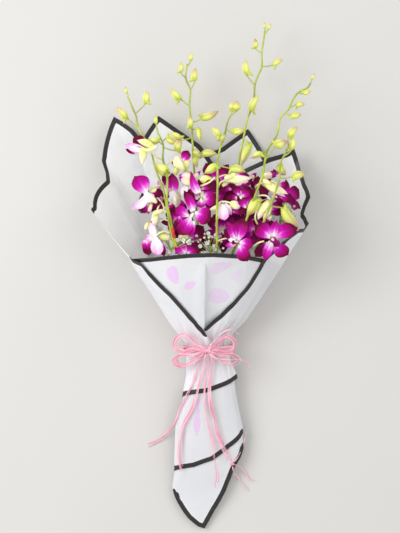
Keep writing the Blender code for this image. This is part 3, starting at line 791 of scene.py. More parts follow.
# how far each point is from the bordered edges
def distanceTo(points, lines):
    best = np.full(len(points), 1e3)
    for line in lines:
        for a, b in zip(line, line[1:]):
            span = b - a
            size = float(span @ span)
            if size < 1e-9:
                continue
            t = np.clip((points - a) @ span / size, 0, 1)
            best = np.minimum(best, np.linalg.norm(points - (a + t[:, None] * span), axis=1))
    return best


def inRanges(value, ranges):
    return any(low <= value <= high for low, high in ranges)


def splitLine(line, keep):
    runs, run = [], []
    for point, kept in zip(line, keep):
        if kept:
            run.append(point)
        elif run:
            runs.append(run)
            run = []
    if run:
        runs.append(run)
    return [r for r in runs if len(r) > 1]


def collarPleat(x, y, z, angle):
    pleat = filmLook["collarPleat"]
    line = x - (pleat["x"] + pleat["lean"] * (y + 70))
    span = smoothStep(-88, -62, y) * (1 - smoothStep(0, 16, y)) * (abs(angle - 180) < 60)
    valley = smoothStep(0, 1.4, line) * np.exp(-np.maximum(line - 1.4, 0) / pleat["reach"])
    ridge = np.exp(-((line + 4) / pleat["ridgeReach"]) ** 2)
    return z + span * (pleat["ridge"] * ridge - pleat["depth"] * valley)


def wingFold(x, y, angle):
    fold = filmLook["wingFold"]
    (startX, startY), (endX, endY) = fold["from"], fold["to"]
    length = math.hypot(endX - startX, endY - startY)
    beside = ((x - startX) * (startY - endY) + (y - startY) * (endX - startX)) / length
    flank = np.where(beside < 0, fold["leftWidth"], fold["rightWidth"])
    inWing = smoothStep(-96, -84, angle) * (1 - smoothStep(-48, -34, angle))
    inWing = inWing * smoothStep(24, 48, y) * (1 - smoothStep(118, 140, y))
    return fold["height"] * inWing * np.clip(1 - abs(beside) / flank, 0, 1)


# what sets one sheet apart from the plain wrap: flutter, pleat and folds
def sheetShift(name, x, y, z, angle, topY):
    sheet = filmSheets[name]
    back = np.clip(np.cos(np.radians(angle)) * 1.6, 0, 1)
    reach, height, turns = filmLook["flutter"]
    flutter = np.exp(-((topY - y) / reach) ** 2) * smoothStep(-60, 40, topY)
    z = z + sheet["lift"] * smoothStep(40, 190, y) * back
    z = z + flutter * back * height * (1 + np.sin(angle * turns + sheet["inset"]))
    if name == "film_collar":
        z = collarPleat(x, y, z, angle)
    if name == "film_outer_left":
        height, middle, reach = filmLook["edgeBulge"]
        nearTie = smoothStep(-100, -84, y) * (1 - smoothStep(-72, -56, y))
        z = z + height * np.exp(-((angle - middle) / reach) ** 2) * nearTie
        shift, start, reach = filmLook["endShift"]
        x = x + shift * np.clip((start - angle) / reach, 0, 1) * np.exp(-((y + 135) / 16.0) ** 2)
        z = z + wingFold(x, y, angle)
    return x, y, z


# a soft, ragged patch where a petal shows through the front of the film
def petalShowGroup():
    group, given, result = newGroup("petalShow", ("Strength",), "Show", ("Place",))
    parts = addNode(group, "ShaderNodeSeparateXYZ", {"Vector": given["Place"]}).outputs
    taper = mathNode(group, "MULTIPLY_ADD", parts["X"], 0.35, 1.0)
    squares = []
    for offset in (parts["X"], mathNode(group, "MULTIPLY", parts["Y"], taper)):
        squares.append(mathNode(group, "POWER", mathNode(group, "ABSOLUTE", offset), 2.0))
    far = mathNode(group, "ADD", *squares)
    rough = mathNode(group, "SUBTRACT", cloudNode(group, 55.0, 2.0), 0.5)
    ragged = mathNode(group, "MULTIPLY_ADD", rough, 2.6, far)
    soft = addNode(group, "ShaderNodeMapRange", {
        "Value": ragged, "From Min": 1.15, "From Max": 0.65, "To Min": 0.0, "To Max": 1.0,
    }, interpolation_type="SMOOTHSTEP").outputs[0]
    front = addNode(group, "ShaderNodeMapRange", {
        "Value": addNode(group, "ShaderNodeSeparateXYZ", {"Vector": placeNode(group)}).outputs["Z"],
        "From Min": 0.012, "From Max": 0.02,
    }).outputs[0]
    show = mathNode(group, "MULTIPLY", mathNode(group, "MULTIPLY", soft, front), given["Strength"])
    group.links.new(show, result)
    return group


petalShowEffect = petalShowGroup()


# shade scales the film's colour down: painted shade, as every sheet is the same film
def filmMaterial(name, shade=1.0, shows=()):
    material, tree, shader = newMaterial(name)
    place = placeNode(tree)
    border = mathNode(tree, "LESS_THAN", markNode(tree, "edgeDistance"), filmLook["borderWidth"])
    cloud = cloudNode(tree, 9.0)
    film = rampNode(tree, cloud, (
        (0.3, rgb(235 * shade, 237 * shade, 244 * shade)),
        (0.7, rgb(246 * shade, 247 * shade, 251 * shade)),
    ))
    for x, y, long, wide, turn, strength in shows:
        mapped = addNode(tree, "ShaderNodeMapping", {
            "Vector": place, "Location": (x * mm, y * mm, 0), "Rotation": (0, 0, math.radians(turn)),
            "Scale": (long * mm, wide * mm, 1),
        }, vector_type="TEXTURE").outputs[0]
        show = addNode(tree, "ShaderNodeGroup", node_tree=petalShowEffect)
        tree.links.new(mapped, show.inputs["Place"])
        show.inputs["Strength"].default_value = strength
        film = mixColour(tree, show.outputs[0], film, (*rgb(236, 190, 244), 1))
    dark = rampNode(tree, cloudNode(tree, 300.0, 2.0), ((0.3, rgb(26, 22, 22)), (0.8, rgb(40, 35, 34))))
    tree.links.new(mixColour(tree, border, film, dark), shader.inputs["Base Color"])
    gloss = addNode(tree, "ShaderNodeMapRange", {"Value": cloud, "To Min": 0.34, "To Max": 0.46})
    tree.links.new(gloss.outputs[0], shader.inputs["Roughness"])
    through = mathNode(tree, "MULTIPLY_ADD", border, -0.45, 0.45)
    tree.links.new(through, shader.inputs["Subsurface Weight"])
    shader.inputs["Subsurface Radius"].default_value = (1.0, 1.0, 1.0)
    shader.inputs["Subsurface Scale"].default_value = 0.002
    crinkle = mathNode(
        tree, "MULTIPLY_ADD", cloudNode(tree, 420.0, 2.0), 0.012, cloudNode(tree, 22.0, 4.0)
    )
    bumpInto(tree, shader, crinkle, 0.35, 0.006)
    return material


filmFinish = filmMaterial("frostedFilm")


def addSheet(name):
    sheet = filmSheets[name]
    angles, tops, bottoms = columnAngles(name)
    y = rowLevels(tops, bottoms)
    angle = np.broadcast_to(angles, y.shape)
    topY = np.broadcast_to(tops, y.shape)
    x, y, z = skinPoints(angle, y, sheet["inset"])
    x, y, z = sheetShift(name, x, y, z, angle, topY)
    grid = np.stack([x, y, np.maximum(z, 0.35)], axis=2)
    rows, columns = y.shape
    lines = splitLine(grid[0], [not inRanges(a, sheet["bareTop"]) for a in angles])
    lines += splitLine(grid[-1], [not inRanges(a, sheet["bareBottom"]) for a in angles])
    lines += [list(grid[:, column]) for kept, column in zip(sheet["sides"], (0, -1)) if kept]
    points = grid.reshape(-1, 3)
    mesh = bpy.data.meshes.new(name + "_sheet")
    starts = [i * columns + j for i in range(rows - 1) for j in range(columns - 1)]
    faces = [(a, a + 1, a + columns + 1, a + columns) for a in starts]
    mesh.from_pydata([tuple(map(float, p * mm)) for p in points], [], faces)
    shows = filmLook["showThrough"].get(name)
    # the collar and the outer right sheet get their film at 0.945 of its colour: painted shade
    mesh.materials.append(filmMaterial(name + "Film", 0.945, shows) if shows else filmFinish)
    mesh.polygons.foreach_set("use_smooth", [True] * len(starts))
    distance = distanceTo(points, lines)
    if "fade" in sheet:
        full, gone, below = sheet["fade"]
        thinner = filmLook["borderWidth"] * np.clip((angle - full) / (gone - full), 0, 1)
        distance = distance + np.where(y < below, thinner, 0).ravel()
    edge = mesh.attributes.new("edgeDistance", "FLOAT", "POINT")
    edge.data.foreach_set("value", distance.astype(np.float32))
    mesh.update()
    piece = placePiece(name + "_sheet", mesh, [name])
    shell = piece.modifiers.new("Shell", "SOLIDIFY")
    shell.thickness = filmLook["thickness"] * mm
    shell.offset = 0


for sheetName in filmSheets:
    addSheet(sheetName)
print("film done")

stems = {
    "bundleX": 6.0, "bundleZ": 18.2, "bundlePitch": 5.4, "bundleTopY": -90.0, "bundleBottomY": -114.0,
    "footRadius": 2.3, "tipRadius": 1.1, "rowZ": 6.6, "pointSpacing": (24, 4.5),
    "nodeSpacing": 24.0, "nodeSwell": 0.16,
    "pedicelRadius": 1.0, "budStalkRadius": 0.85,
    # below the heart of a bloom: where its pedicel bends and where it ends; for a bloom placed by
    # its centre these are shares of its width
    "seatShares": (0.17, 0.05),
    "seatDepths": (7, 2),
    # angle of its place in the bundle (none: the middle), foot, route, buds (leaving point, start,
    # end, width)
    "sprays": {
        "spray_far_left": (120, (-7.8, -276), (
            (-27, 18, 86), (-37, 39, 98), (-42, 59, 101), (-46, 84, 103), (-50, 106, 103), (-55, 120, 99),
            (-62, 139, 88), (-66, 156, 78), (-70, 169, 69), (-78, 180, 69), (-84, 191, 68), (-87, 206, 66),
            (-90, 213, 64), (-98, 232, 62),
        ), (
            ((-97, 230, 62), (-98, 235, 62), (-101, 245, 62), 4),
            ((-88, 211, 66), (-75, 222, 66), (-73, 239, 68), 9),
            ((-85, 190, 68), (-97, 202, 68), (-112, 217, 72), 9),
        )),
        "spray_left": (180, (-13, -280), (
            (-27, 14, 84), (-35, 40, 99), (-41, 69, 103), (-46, 91, 105), (-46, 108, 105), (-46, 123, 101),
            (-47, 135, 92), (-52, 149, 78), (-52, 169, 62), (-59, 185, 54), (-61, 194, 52),
        ), (
            ((-60, 190, 53), (-61, 196, 52), (-61, 209, 52), 5),
            ((-52, 169, 58), (-57, 173, 60), (-72, 177, 64), 8),
            ((-54, 175, 57), (-49, 178, 59), (-33, 171, 62), 8),
            ((-52, 169, 66), (-36, 161, 72), (-28, 175, 73), 10),
            ((-46, 122, 80), (-43, 131, 86), (-61, 145, 87), 13),
        )),
        "spray_middle": (240, (-2.6, -284), (
            (-4, 18, 40), (-7, 59, 44), (-10, 98, 50), (-11, 124, 56), (-13, 150, 60), (-14, 169, 60),
            (-15, 189, 58), (-17, 208, 56), (-18, 224, 54), (-17, 241, 52), (-23, 257, 50), (-21, 275, 50),
        ), (
            ((-21, 272, 50), (-17, 278, 50), (-15, 290, 50), 5),
            ((-23, 256, 50), (-29, 263, 50), (-30, 278, 50), 6),
            ((-17, 240, 52), (-11, 252, 52), (-10, 270, 52), 8),
            ((-18, 221, 54), (-28, 228, 54), (-42, 243, 58), 9),
            ((-16, 199, 56), (-4, 202, 60), (20, 213, 64), 9),
            ((-15, 186, 58), (-16, 190, 62), (-18, 207, 62), 7),
            ((-15, 189, 58), (-6, 192, 61), (-4, 174, 62), 7),
            ((-16, 178, 58), (-29, 175, 62), (-44, 185, 66), 8),
            ((-13, 163, 60), (-4, 158, 64), (18, 157, 68), 9),
            ((-13, 156, 64), (-11, 154, 70), (-8, 139, 71), 7),
            ((-13, 152, 64), (-10, 154, 70), (-9, 165, 71), 7),
        )),
        "spray_centre": (60, (13, -274), (
            (16, 23, 88), (17, 40, 102), (17, 77, 110), (18, 121, 110), (18, 141, 106), (21, 162, 97),
            (26, 175, 88), (31, 197, 87), (37, 208, 86),
        ), (
            ((36, 206, 86), (41, 211, 87), (43, 224, 90), 14),
            ((29, 188, 88), (37, 182, 90), (53, 188, 92), 8),
            ((25, 173, 88), (22, 178, 92), (10, 189, 96), 8),
            ((18, 141, 106), (33, 137, 102), (54, 132, 99), 10),
            ((18, 133, 107), (17, 143, 104), (1, 130, 99), 10),
            ((26, 175, 84), (28, 176, 90), (16, 173, 91), 7),
        )),
        "spray_tall": (300, (7.8, -282), (
            (22, 18, 31), (32, 66, 33), (41, 112, 36), (46, 144, 40), (48, 159, 42), (52, 177, 44),
            (54, 188, 45), (57, 203, 46), (63, 219, 46), (66, 231, 46), (67, 248, 46), (71, 260, 46),
            (76, 272, 46), (76, 290, 46), (78, 304, 46), (80, 318, 46),
        ), (
            ((80, 316, 46), (80, 321, 46), (80, 330, 46), 4),
            ((80, 314, 46), (84, 320, 46), (88, 329, 46), 4),
            ((76, 290, 46), (68, 295, 46), (67, 309, 46), 6),
            ((76, 272, 46), (90, 274, 46), (104, 281, 48), 7),
            ((67, 247, 46), (57, 260, 46), (56, 281, 46), 9),
            ((58, 206, 46), (60, 213, 49), (72, 235, 52), 9),
            ((51, 178, 43), (63, 172, 49), (49, 142, 53), 10),
        )),
        "spray_right": (None, (2.6, -278), (
            (34, 18, 60), (45, 46, 84), (57, 78, 102), (68, 108, 106), (75, 128, 100), (79, 148, 88),
            (82, 161, 79), (95, 182, 70), (99, 203, 68), (109, 213, 66), (115, 226, 66), (122, 236, 66),
            (135, 243, 66), (138, 248, 66),
        ), (
            ((138, 247, 66), (140, 253, 66), (143, 262, 66), 4),
            ((124, 237, 66), (128, 235, 67), (139, 238, 70), 6),
            ((112, 219, 66), (119, 221, 68), (131, 221, 70), 7),
            ((105, 209, 66), (112, 207, 68), (127, 208, 70), 8),
            ((82, 160, 79), (77, 158, 79), (61, 151, 78), 8),
            ((67, 90, 94), (68, 100, 100), (55, 76, 101), 13),
            ((79, 147, 86), (91, 165, 92), (108, 172, 93), 11),
        )),
        "spray_far_right": (0, (18.2, -266), (
            (45, 14, 66), (57, 33, 84), (72, 58, 100), (81, 80, 108), (90, 103, 109), (97, 124, 103),
            (98, 143, 92), (103, 153, 84), (109, 165, 84),
        ), (
            ((108, 163, 84), (108, 178, 84), (121, 191, 86), 9),
            ((103, 153, 84), (112, 160, 86), (116, 178, 88), 8),
            ((97, 126, 102), (112, 126, 97), (131, 131, 94), 10),
            ((84, 88, 108), (99, 87, 100), (122, 63, 96), 12),
            ((98, 141, 80), (95, 141, 78), (106, 129, 79), 11),
        )),
    },
    # y range of the red tape on the left spray
    "redTape": ((46, 62), (92, 99)),
}
# spray, centre, facing, angle of the upper sepal, width, openness, tone, turn of the lip
blooms = {
    "flower_inner_left": ("spray_left", (-33, 70, 84), (-0.2, -0.1, 1.0), 60, 44, 0.9, 0.7, 0),
    "flower_deep_middle": ("spray_middle", (16, 120, 66), (0.2, 0.3, 0.9), 60, 58, 0.9, 0.7, 0),
    "flower_deep_right": ("spray_right", (106, 99, 62), (0.7, 0.2, 0.7), 90, 50, 0.85, 0.5, 0),
    "flower_deep_front": ("spray_tall", (25, 58, 66), (0.1, -0.2, 0.9), 140, 62, 0.95, 0.8, 0),
    "flower_deep_centre": ("spray_middle", (12, 100, 80), (0.1, 0.2, 0.9), 70, 56, 0.95, 0.6, 0),
    "flower_mid_left": ("spray_left", (-56, 96, 76), (-0.2, 0.1, 0.9), 110, 38, 0.8, 0.8, 0),
    "flower_cross_right": ("spray_right", (46, 82, 75), (0.1, 0.0, 1.0), 60, 62, 0.95, 0.7, 0),
    "flower_low_right": ("spray_far_right", (67, 56, 88), (0.1, 0.1, 0.9), 80, 56, 0.9, 0.75, 0),
    "flower_low_middle": ("spray_left", (-19, 46, 76), (0.0, -0.1, 1.0), 100, 54, 0.98, 0.75, 0),
}


# blooms whose petals are set one by one, all counted from the heart; each petal: start, tip, width,
# outline, the face shown, tone, bend; horns: points, width, shades of the ends; stalks: points;
# lip and column: direction, sizes
# the darkest petal tones, about 1 and more, mostly on petals set lower than the heart, are partly painted
# shade between the blooms over their own deep magenta
portraits = {
    "flower_deep_left": {
        "spray": "spray_left", "heart": (-70, 69, 66),
        "tepals": (
            ((0, 0, 0), (-5, -11, 2), 8, "narrow", "back", -0.2, 0),
            ((1, 0, 0), (4, -11, 1), 6.5, "narrow", "back", -0.1, 0),
        ),
    },
    "flower_front_right": {
        "spray": "spray_far_right", "heart": (87, 47, 111),
        "tepals": (
            ((-2, 1, 0), (-22, 16, 2), 21.5, "broad", "front", 0.24, -0.08),
            ((1, 2, 0), (6, 24, 3), 12.5, "narrow", "front", -0.08, 0),
            ((2, 0, 0), (33, 14, 3), 19.5, "broad", "front", 0.26, 0.1),
            ((-1, -3, 0), (-10, -28, -3), 12.5, "narrow", "front", -0.12, 0),
            ((2, -3, -1), (21, -21, -4), 19, "broad", "front", 0.2, -0.1),
            ((-5, -4, -12), (-21, -23, -14), 14, "broad", "front", 1.2, 0),
            ((-7, 9, -14), (-21, -6, -16), 14, "broad", "front", 1.2, 0),
        ),
        "stalks": (
            ((-10, -3, -1), (-17, -5, -2), (-23, -9, -6)),
        ),
        "lip": (-50, 36), "column": (-57, 11.4, 4.6),
    },
    "flower_front": {
        "spray": "spray_centre", "heart": (43, 43, 113),
        "tepals": (
            ((1, 1, 0), (8, 30, 3), 21, "broad", "front", 0.32, 0.05),
            ((-2, 2, 0), (-12, 26, 3), 11, "narrow", "front", 0, 0),
            ((2, 0, 0), (20, -5, 1), 16.5, "broad", "front", 0.05, 0),
            ((2, -3, 0), (13, -25, -1), 17.5, "broad", "front", 0.3, -0.05),
            ((-2, 1, -2), (-17, 16, -3), 12.5, "broad", "front", 0.8, 0),
            ((-2, -2, -1), (-16, -5, 0), 7.5, "narrow", "front", -0.35, 0),
            ((-4, 1, 1), (-9, 6, 2), 6.5, "narrow", "back", -0.3, 0),
        ),
        "lip": (190, 22), "column": (165, 11.4, 5.8),
    },
    "flower_round": {
        "spray": "spray_middle", "heart": (-13, 79, 108),
        "tepals": (
            ((2, 1, 0), (23, -8, 3), 23, "broad", "front", 0.3, 0.05),
            ((0, 2, 0), (-12, 30, 0), 12, "narrow", "front", 0.34, -0.05),
            ((2, 7, -3), (-4, 30, -4), 7.5, "narrow", "front", 0.7, 0),
            ((-5, -4, 0), (-23, 8, 2), 14, "broad", "front", -0.05, 0),
            ((-3, -4, 0), (-19, -27, 0), 19.5, "broad", "front", 0.22, 0.08),
            ((0, -9, 1), (-3, -30, 1), 8.5, "narrow", "front", 0, 0),
            ((-17, -3, -2), (-22, -19, -3), 10, "broad", "front", 0.9, 0),
        ),
        "column": (235, 6.3, 4.3),
    },
    "flower_heart": {
        "spray": "spray_middle", "heart": (-3, 98, 99),
        "tepals": (
            ((2, 0, 0), (22, -2, 2), 19, "broad", "front", 0.36, 0),
            ((0, 0, 2), (0, -12, 3), 12.5, "broad", "front", -0.3, 0),
            ((2, 1, 0), (16, 10, 1), 9, "narrow", "front", -0.2, 0),
            ((1, 1, 1), (2, 17, 0), 5, "narrow", "back", 0.8, 0),
            ((-3, 0, -1), (-14, 11, 0), 9, "narrow", "front", -0.1, 0),
            ((4, -3, -4), (16, -11, -4), 10, "broad", "front", 0.9, 0),
        ),
        "column": (-90, 5.1, 5.1),
    },
    "flower_left": {
        "spray": "spray_far_left", "heart": (-72, 103, 98),
        "tepals": (
            ((0, 1, 0), (-16, 24, 3), 23, "broad", "front", -0.02, -0.06),
            ((1, 1, 0), (-21, -18, 1), 11.5, "narrow", "front", -0.74, 0.14),
            ((3, 3, -2), (18, 12, -1), 6.5, "narrow", "back", 0.15, 0),
            ((3, 5, -3), (21, 1, -3), 11.5, "broad", "front", 1.1, 0),
            ((2, -10, -3), (-9, -23, -4), 11, "narrow", "front", 0.6, 0.1),
            ((6, -10, -2), (1, -25, -2), 5.5, "narrow", "back", 0.35, 0),
            ((17, -1, -4), (12, -15, -4), 7.5, "narrow", "front", 1.3, 0),
            ((-3, 1, 1), (9, -8, 1), 13, "broad", "front", -0.95, 0),
        ),
        "horns": (
            (((-3, 2, 1), (3, -3, 3), (9, -7, 2), (12, -10, 0)), 11, (0.95, 0.6)),
        ),
        "stalks": (
            ((23, -19, -8), (19, -10, -4), (13, -3, -1)),
        ),
    },
    "flower_left_inner": {
        "spray": "spray_left", "heart": (-39, 106, 92),
        "tepals": (
            ((0, -2, 0), (-1, 26, 3), 16.5, "narrow", "front", 0.3, 0),
            ((-7, -4, 1), (-20, 16, 1), 9, "narrow", "front", -0.66, 0),
            ((-2, 4, 1), (4, -16, 0), 10, "even", "front", -0.93, 0),
            ((2, 4, 1), (7, -18, 0), 9.5, "even", "back", 0, 0),
            ((-8, 9, -3), (-13, 24, -4), 7.5, "narrow", "front", 1.4, 0),
            ((-4, -13, -3), (3, -25, -4), 7.5, "narrow", "front", 1.3, 0),
            ((8, -5, -3), (17, 5, -3), 7.5, "narrow", "front", -0.85, 0),
            ((8, -9, -5), (17, -26, -6), 10, "narrow", "front", 1, 0),
        ),
        "horns": (
            (((1, -4, 2), (2, -11, 3), (5, -17, 1)), 8.5, (0.95, 0.55)),
        ),
    },
    "flower_left_profile": {
        "spray": "spray_far_left", "heart": (-75, 162, 95),
        "tepals": (
            ((2, 2, -1), (-15, 14, 0), 16, "broad", "front", 0.9, -0.05),
            ((2, 6, -2), (12, 7, -2), 5.5, "narrow", "front", 1.2, 0),
            ((-10, -6, -2), (-25, 0, -3), 6.5, "narrow", "front", 0.8, 0),
            ((0, -1, 0), (-26, 6, 1), 11, "narrow", "front", -0.72, 0.05),
            ((-2, 2, 2), (-3, -21, 1), 11.5, "tapered", "back", -0.35, 0),
            ((13, 1, 4), (-10, 11, 3), 10, "narrow", "back", -0.62, -0.06),
        ),
        "horns": (
            (((16, 3, 4), (9, -1, 5), (2, -2, 4), (-3, 2, 3)), 7, (0.6, 0.1)),
        ),
        "stalks": (
            ((22, -13, -18), (14, -9, -10), (7, -3, 1)),
        ),
    },
    "flower_lower_left": {
        "spray": "spray_far_left", "heart": (-62, 50, 96),
        "tepals": (
            ((0, -2, 0), (-6, 19, 1), 10, "narrow", "front", -0.78, 0),
            ((0, 1, 0), (-13, -4, 0), 10, "narrow", "front", -0.66, 0),
            ((-11, -4, -2), (-8, -24, -2), 13.5, "even", "front", 0.7, 0),
            ((0, 1, 1), (5, -25, 2), 16.5, "broad", "front", -0.75, 0),
            ((8, -8, -1), (12, -26, -1), 8.5, "narrow", "front", 0.6, 0),
            ((5, 1, -2), (21, -2, -2), 9.5, "even", "back", -0.5, 0),
        ),
        "stalks": (
            ((23, 4, -6), (15, 7, -2), (7, 5, 1), (1, 1, 1)),
        ),
    },
    "flower_cream": {
        "spray": "spray_centre", "heart": (26, 88, 104),
        "tepals": (
            ((-2, 4, 1), (1, -18, 2), 16, "broad", "front", -0.76, -0.05),
            ((1, 4, 0), (10, -11, 0), 8.5, "narrow", "front", -0.68, 0),
            ((-2, -1, 0), (-19, -4, 0), 10, "tapered", "back", -0.3, 0),
            ((7, 3, 0), (22, 1, 0), 11.5, "even", "back", -0.05, 0),
            ((3, 2, 0), (12, -9, 0), 5.5, "narrow", "back", 0.7, 0),
            ((10, -7, -4), (29, -4, -4), 10, "broad", "front", 1.3, 0),
            ((-2, -9, -5), (-15, -19, -6), 11.5, "broad", "front", 1, 0),
        ),
        "stalks": (
            ((-8, 1, -6), (-4, 6, 0), (3, 6, 1), (10, 4, 0)),
            ((-10, -25, -4), (-9, -18, -2), (-6, -12, 0)),
        ),
    },
    "flower_right_inner": {
        "spray": "spray_tall", "heart": (47, 101, 101),
        "tepals": (
            ((1, -1, 0), (12, 9, 2), 12, "broad", "front", 0.3, 0),
            ((-2, 1, -1), (-7, 15, -1), 11, "broad", "front", 0.7, 0),
            ((-4, -2, -2), (-18, -1, -2), 8.5, "narrow", "front", 1.1, 0),
            ((7, -15, 2), (-1, -1, 3), 11.5, "broad", "front", 0.35, 0),
            ((7, -12, -3), (19, 12, -3), 10, "narrow", "front", 0.8, 0),
            ((2, -4, -5), (11, -22, -5), 14, "broad", "front", 1.2, 0),
            ((-5, -4, -6), (-16, -17, -7), 11.5, "broad", "front", 1.2, 0),
        ),
        "column": (-70, 3.8, 3.3),
    },
    "flower_right_back": {
        "spray": "spray_far_right", "heart": (80, 117, 98),
        "tepals": (
            ((-4, 0, 1), (25, -17, 1), 9.5, "narrow", "back", 0, 0.05),
            ((-5, 4, 2), (28, -13, 3), 12, "narrow", "back", -0.25, -0.04),
            ((15, -1, -1), (28, -3, -1), 11, "broad", "front", 0.4, 0),
            ((7, -10, -3), (23, -24, -3), 10, "broad", "front", 0.8, 0),
            ((16, -14, -2), (35, -20, -2), 13, "broad", "front", 0.6, 0),
            ((6, -2, -4), (-9, -11, -5), 14, "broad", "front", 1.3, 0),
            ((0, -5, -6), (-5, -20, -7), 11.5, "broad", "front", 1.1, 0),
            ((5, -32, -6), (22, -22, -6), 10, "narrow", "front", 0.7, 0),
            ((7, -16, -2), (20, -18, -2), 6.5, "narrow", "back", 0.9, 0),
        ),
        "horns": (
            (((-5, 4, 3), (1, 2, 4.5), (7, -3, 4)), 7.5, (0.6, 0.1)),
        ),
        "stalks": (
            ((-15, -6, -8), (-11, -1, -2), (-3, 2, 2)),
        ),
    },
    "flower_top_middle": {
        "spray": "spray_left", "heart": (-29, 146, 90),
        "tepals": (
            ((2, 0, 0), (10, 14, 1), 13, "broad", "front", 0.35, 0),
            ((-6, -2, -2), (-12, -1, -2), 6, "narrow", "front", 1.2, 0),
            ((4, -12, 1), (-7, 7, 1), 14, "broad", "back", -0.5, 0.05),
            ((5, -12, 0), (9, 7, 0), 8.5, "narrow", "back", -0.5, 0),
            ((-7, -17, -3), (-4, -4, -3), 7.5, "narrow", "back", -0.75, 0),
        ),
        "horns": (
            (((-4, 2, 2), (-1, -3, 4), (3, -10, 3), (5, -13, 1)), 8.5, (0.6, 0.1)),
        ),
        "stalks": (
            ((14, -14, -20), (9, -12, -8), (5, -10, 0)),
        ),
    },
    "flower_middle": {
        "spray": "spray_middle", "heart": (-13, 119, 104),
        "tepals": (
            ((3, 5, 0), (-19, 9, 1), 8.5, "narrow", "back", 0.2, -0.04),
            ((0, -2, 1), (-19, 7, 1), 10, "narrow", "back", 0.3, 0.06),
            ((-4, 0, -1), (10, 15, -1), 6.5, "narrow", "back", 0.35, 0),
            ((7, -15, 2), (-3, 14, 3), 11.5, "tapered", "front", 0, 0.06),
            ((24, 3, -1), (7, 4, -1), 12, "narrow", "back", -0.75, 0),
            ((10, -9, -2), (29, 1, -2), 12.5, "broad", "front", 1.2, 0),
            ((-7, -5, -2), (-16, -16, -2), 8.5, "narrow", "front", -0.9, 0),
            ((1, -6, -5), (-9, -22, -6), 11.5, "broad", "front", 1.1, 0),
        ),
        "stalks": (
            ((9, -5, 1), (19, -1, 2), (28, 6, 0)),
        ),
    },
    "flower_half_open": {
        "spray": "spray_far_left", "heart": (-61, 80, 93),
        "tepals": (
            ((0, 3, 1), (-8, -24, 1), 10, "narrow", "back", 0.2, 0.08),
            ((0, -7, 0), (-3, -19, 0), 5, "narrow", "front", 0.8, 0),
            ((-2, -4, 2), (-7, -16, 2), 4.5, "narrow", "back", 0.8, 0),
            ((2, 1, 1), (10, 4, 1), 5.5, "narrow", "back", -0.7, 0),
        ),
        "horns": (
            (((11, 2, 1), (4, 1, 3), (-1, -1, 3), (-5, -8, 1)), 7.5, (0.6, 0.1)),
        ),
        "stalks": (
            ((8, 18, -4), (5, 12, -1), (2, 4, 0)),
        ),
    },
    "flower_bottom": {
        "spray": "spray_left", "heart": (-21, 34, 97),
        "tepals": (
            ((-1, -6, -1), (-13, 8, 1), 18, "broad", "front", 0.05, 0),
            ((0, -6, -1), (15, 5, 0), 18, "broad", "front", 0.6, 0),
            ((2, 16, 0), (-12, 14, 1), 9.5, "even", "back", -0.4, 0),
        ),
    },
    "flower_mid_right": {
        "spray": "spray_far_right", "heart": (78, 84, 98),
        "tepals": (
            ((8, 10, 1), (-2, -14, 0), 9, "narrow", "back", -0.1, 0.03),
            ((6, 12, 2), (-9, -13, 1), 11, "narrow", "back", -0.3, -0.05),
            ((7, 13, 0), (-6, 7, -1), 5.5, "narrow", "front", 0.6, 0),
            ((9, -6, -2), (1, -15, -2), 8.5, "broad", "back", 0.6, 0),
            ((-3, 9, 0), (-10, -5, 0), 6.5, "narrow", "back", -0.5, 0),
            ((2, -8, -9), (-16, -28, -10), 18, "broad", "front", 1.2, 0),
            ((-3, 3, -9), (-18, 4, -10), 14, "broad", "front", 1.2, 0),
            ((7, -5, -14), (25, 3, -14), 14, "broad", "front", 1.1, 0),
            ((-3, -15, -14), (13, -25, -15), 15.5, "broad", "front", 1.3, 0),
        ),
        "horns": (
            (((5, 9, 3), (1, 2, 4), (-3, -4, 3)), 6.5, (0.6, 0.1)),
        ),
        "stalks": (
            ((-11, 14, -6), (-7, 18, -1), (2, 18, 1), (7, 13, 1)),
            ((-9, -18, -4), (-12, -11, 0), (-11, -1, 1)),
        ),
    },
    "flower_upper_middle": {
        "spray": "spray_centre", "heart": (41, 123, 103),
        "tepals": (
            ((-14, -1, 2), (19, -4, 1), 9.5, "narrow", "back", 0.12, 0.03),
            ((-14, 1, 3), (21, 1, 2), 11, "narrow", "back", -0.12, -0.04),
            ((0, 6, 1), (18, 4, 0), 7, "broad", "front", 0.6, 0),
            ((-3, -4, 1), (16, -7, 0), 6.5, "narrow", "back", 0.8, 0),
            ((0, -6, 0), (17, -9, -1), 6.5, "narrow", "front", 0.9, 0),
            ((-10, -2, 3), (0, 8, 2), 9, "narrow", "back", -0.6, 0),
            ((-17, -9, -5), (-5, 2, -5), 6.5, "narrow", "back", 0.5, 0),
            ((13, -9, -4), (21, 2, -4), 7.5, "narrow", "front", 1.3, 0),
            ((-5, -13, -9), (-21, -8, -10), 11.5, "broad", "front", 1.1, 0),
            ((6, -8, -9), (21, -21, -10), 14, "broad", "front", 1.2, 0),
        ),
        "horns": (
            (((-14, 0, 3), (-9, 2, 5), (-2, 1, 4.5)), 7.5, (0.6, 0.1)),
        ),
        "stalks": (
            ((-22, -10, -8), (-19, -4, -2), (-13, -1, 2)),
        ),
    },
    "flower_upper_right": {
        "spray": "spray_right", "heart": (75, 120, 90),
        "tepals": (
            ((0, 6, 1), (21, 12, 0), 10, "even", "back", 0.7, 0),
            ((20, 7, 0), (14, 17, 0), 4.5, "narrow", "front", 1, 0),
            ((-7, -12, -2), (-5, 8, -1), 11.5, "broad", "front", 0.6, 0),
            ((-15, 3, -3), (-7, 12, -3), 6.5, "narrow", "back", 0.75, 0),
            ((0, -10, -6), (-15, 0, -6), 11.5, "broad", "front", 1.2, 0),
            ((0, 1, -4), (13, 5, -4), 7.5, "narrow", "front", 1.2, 0),
        ),
    },
}


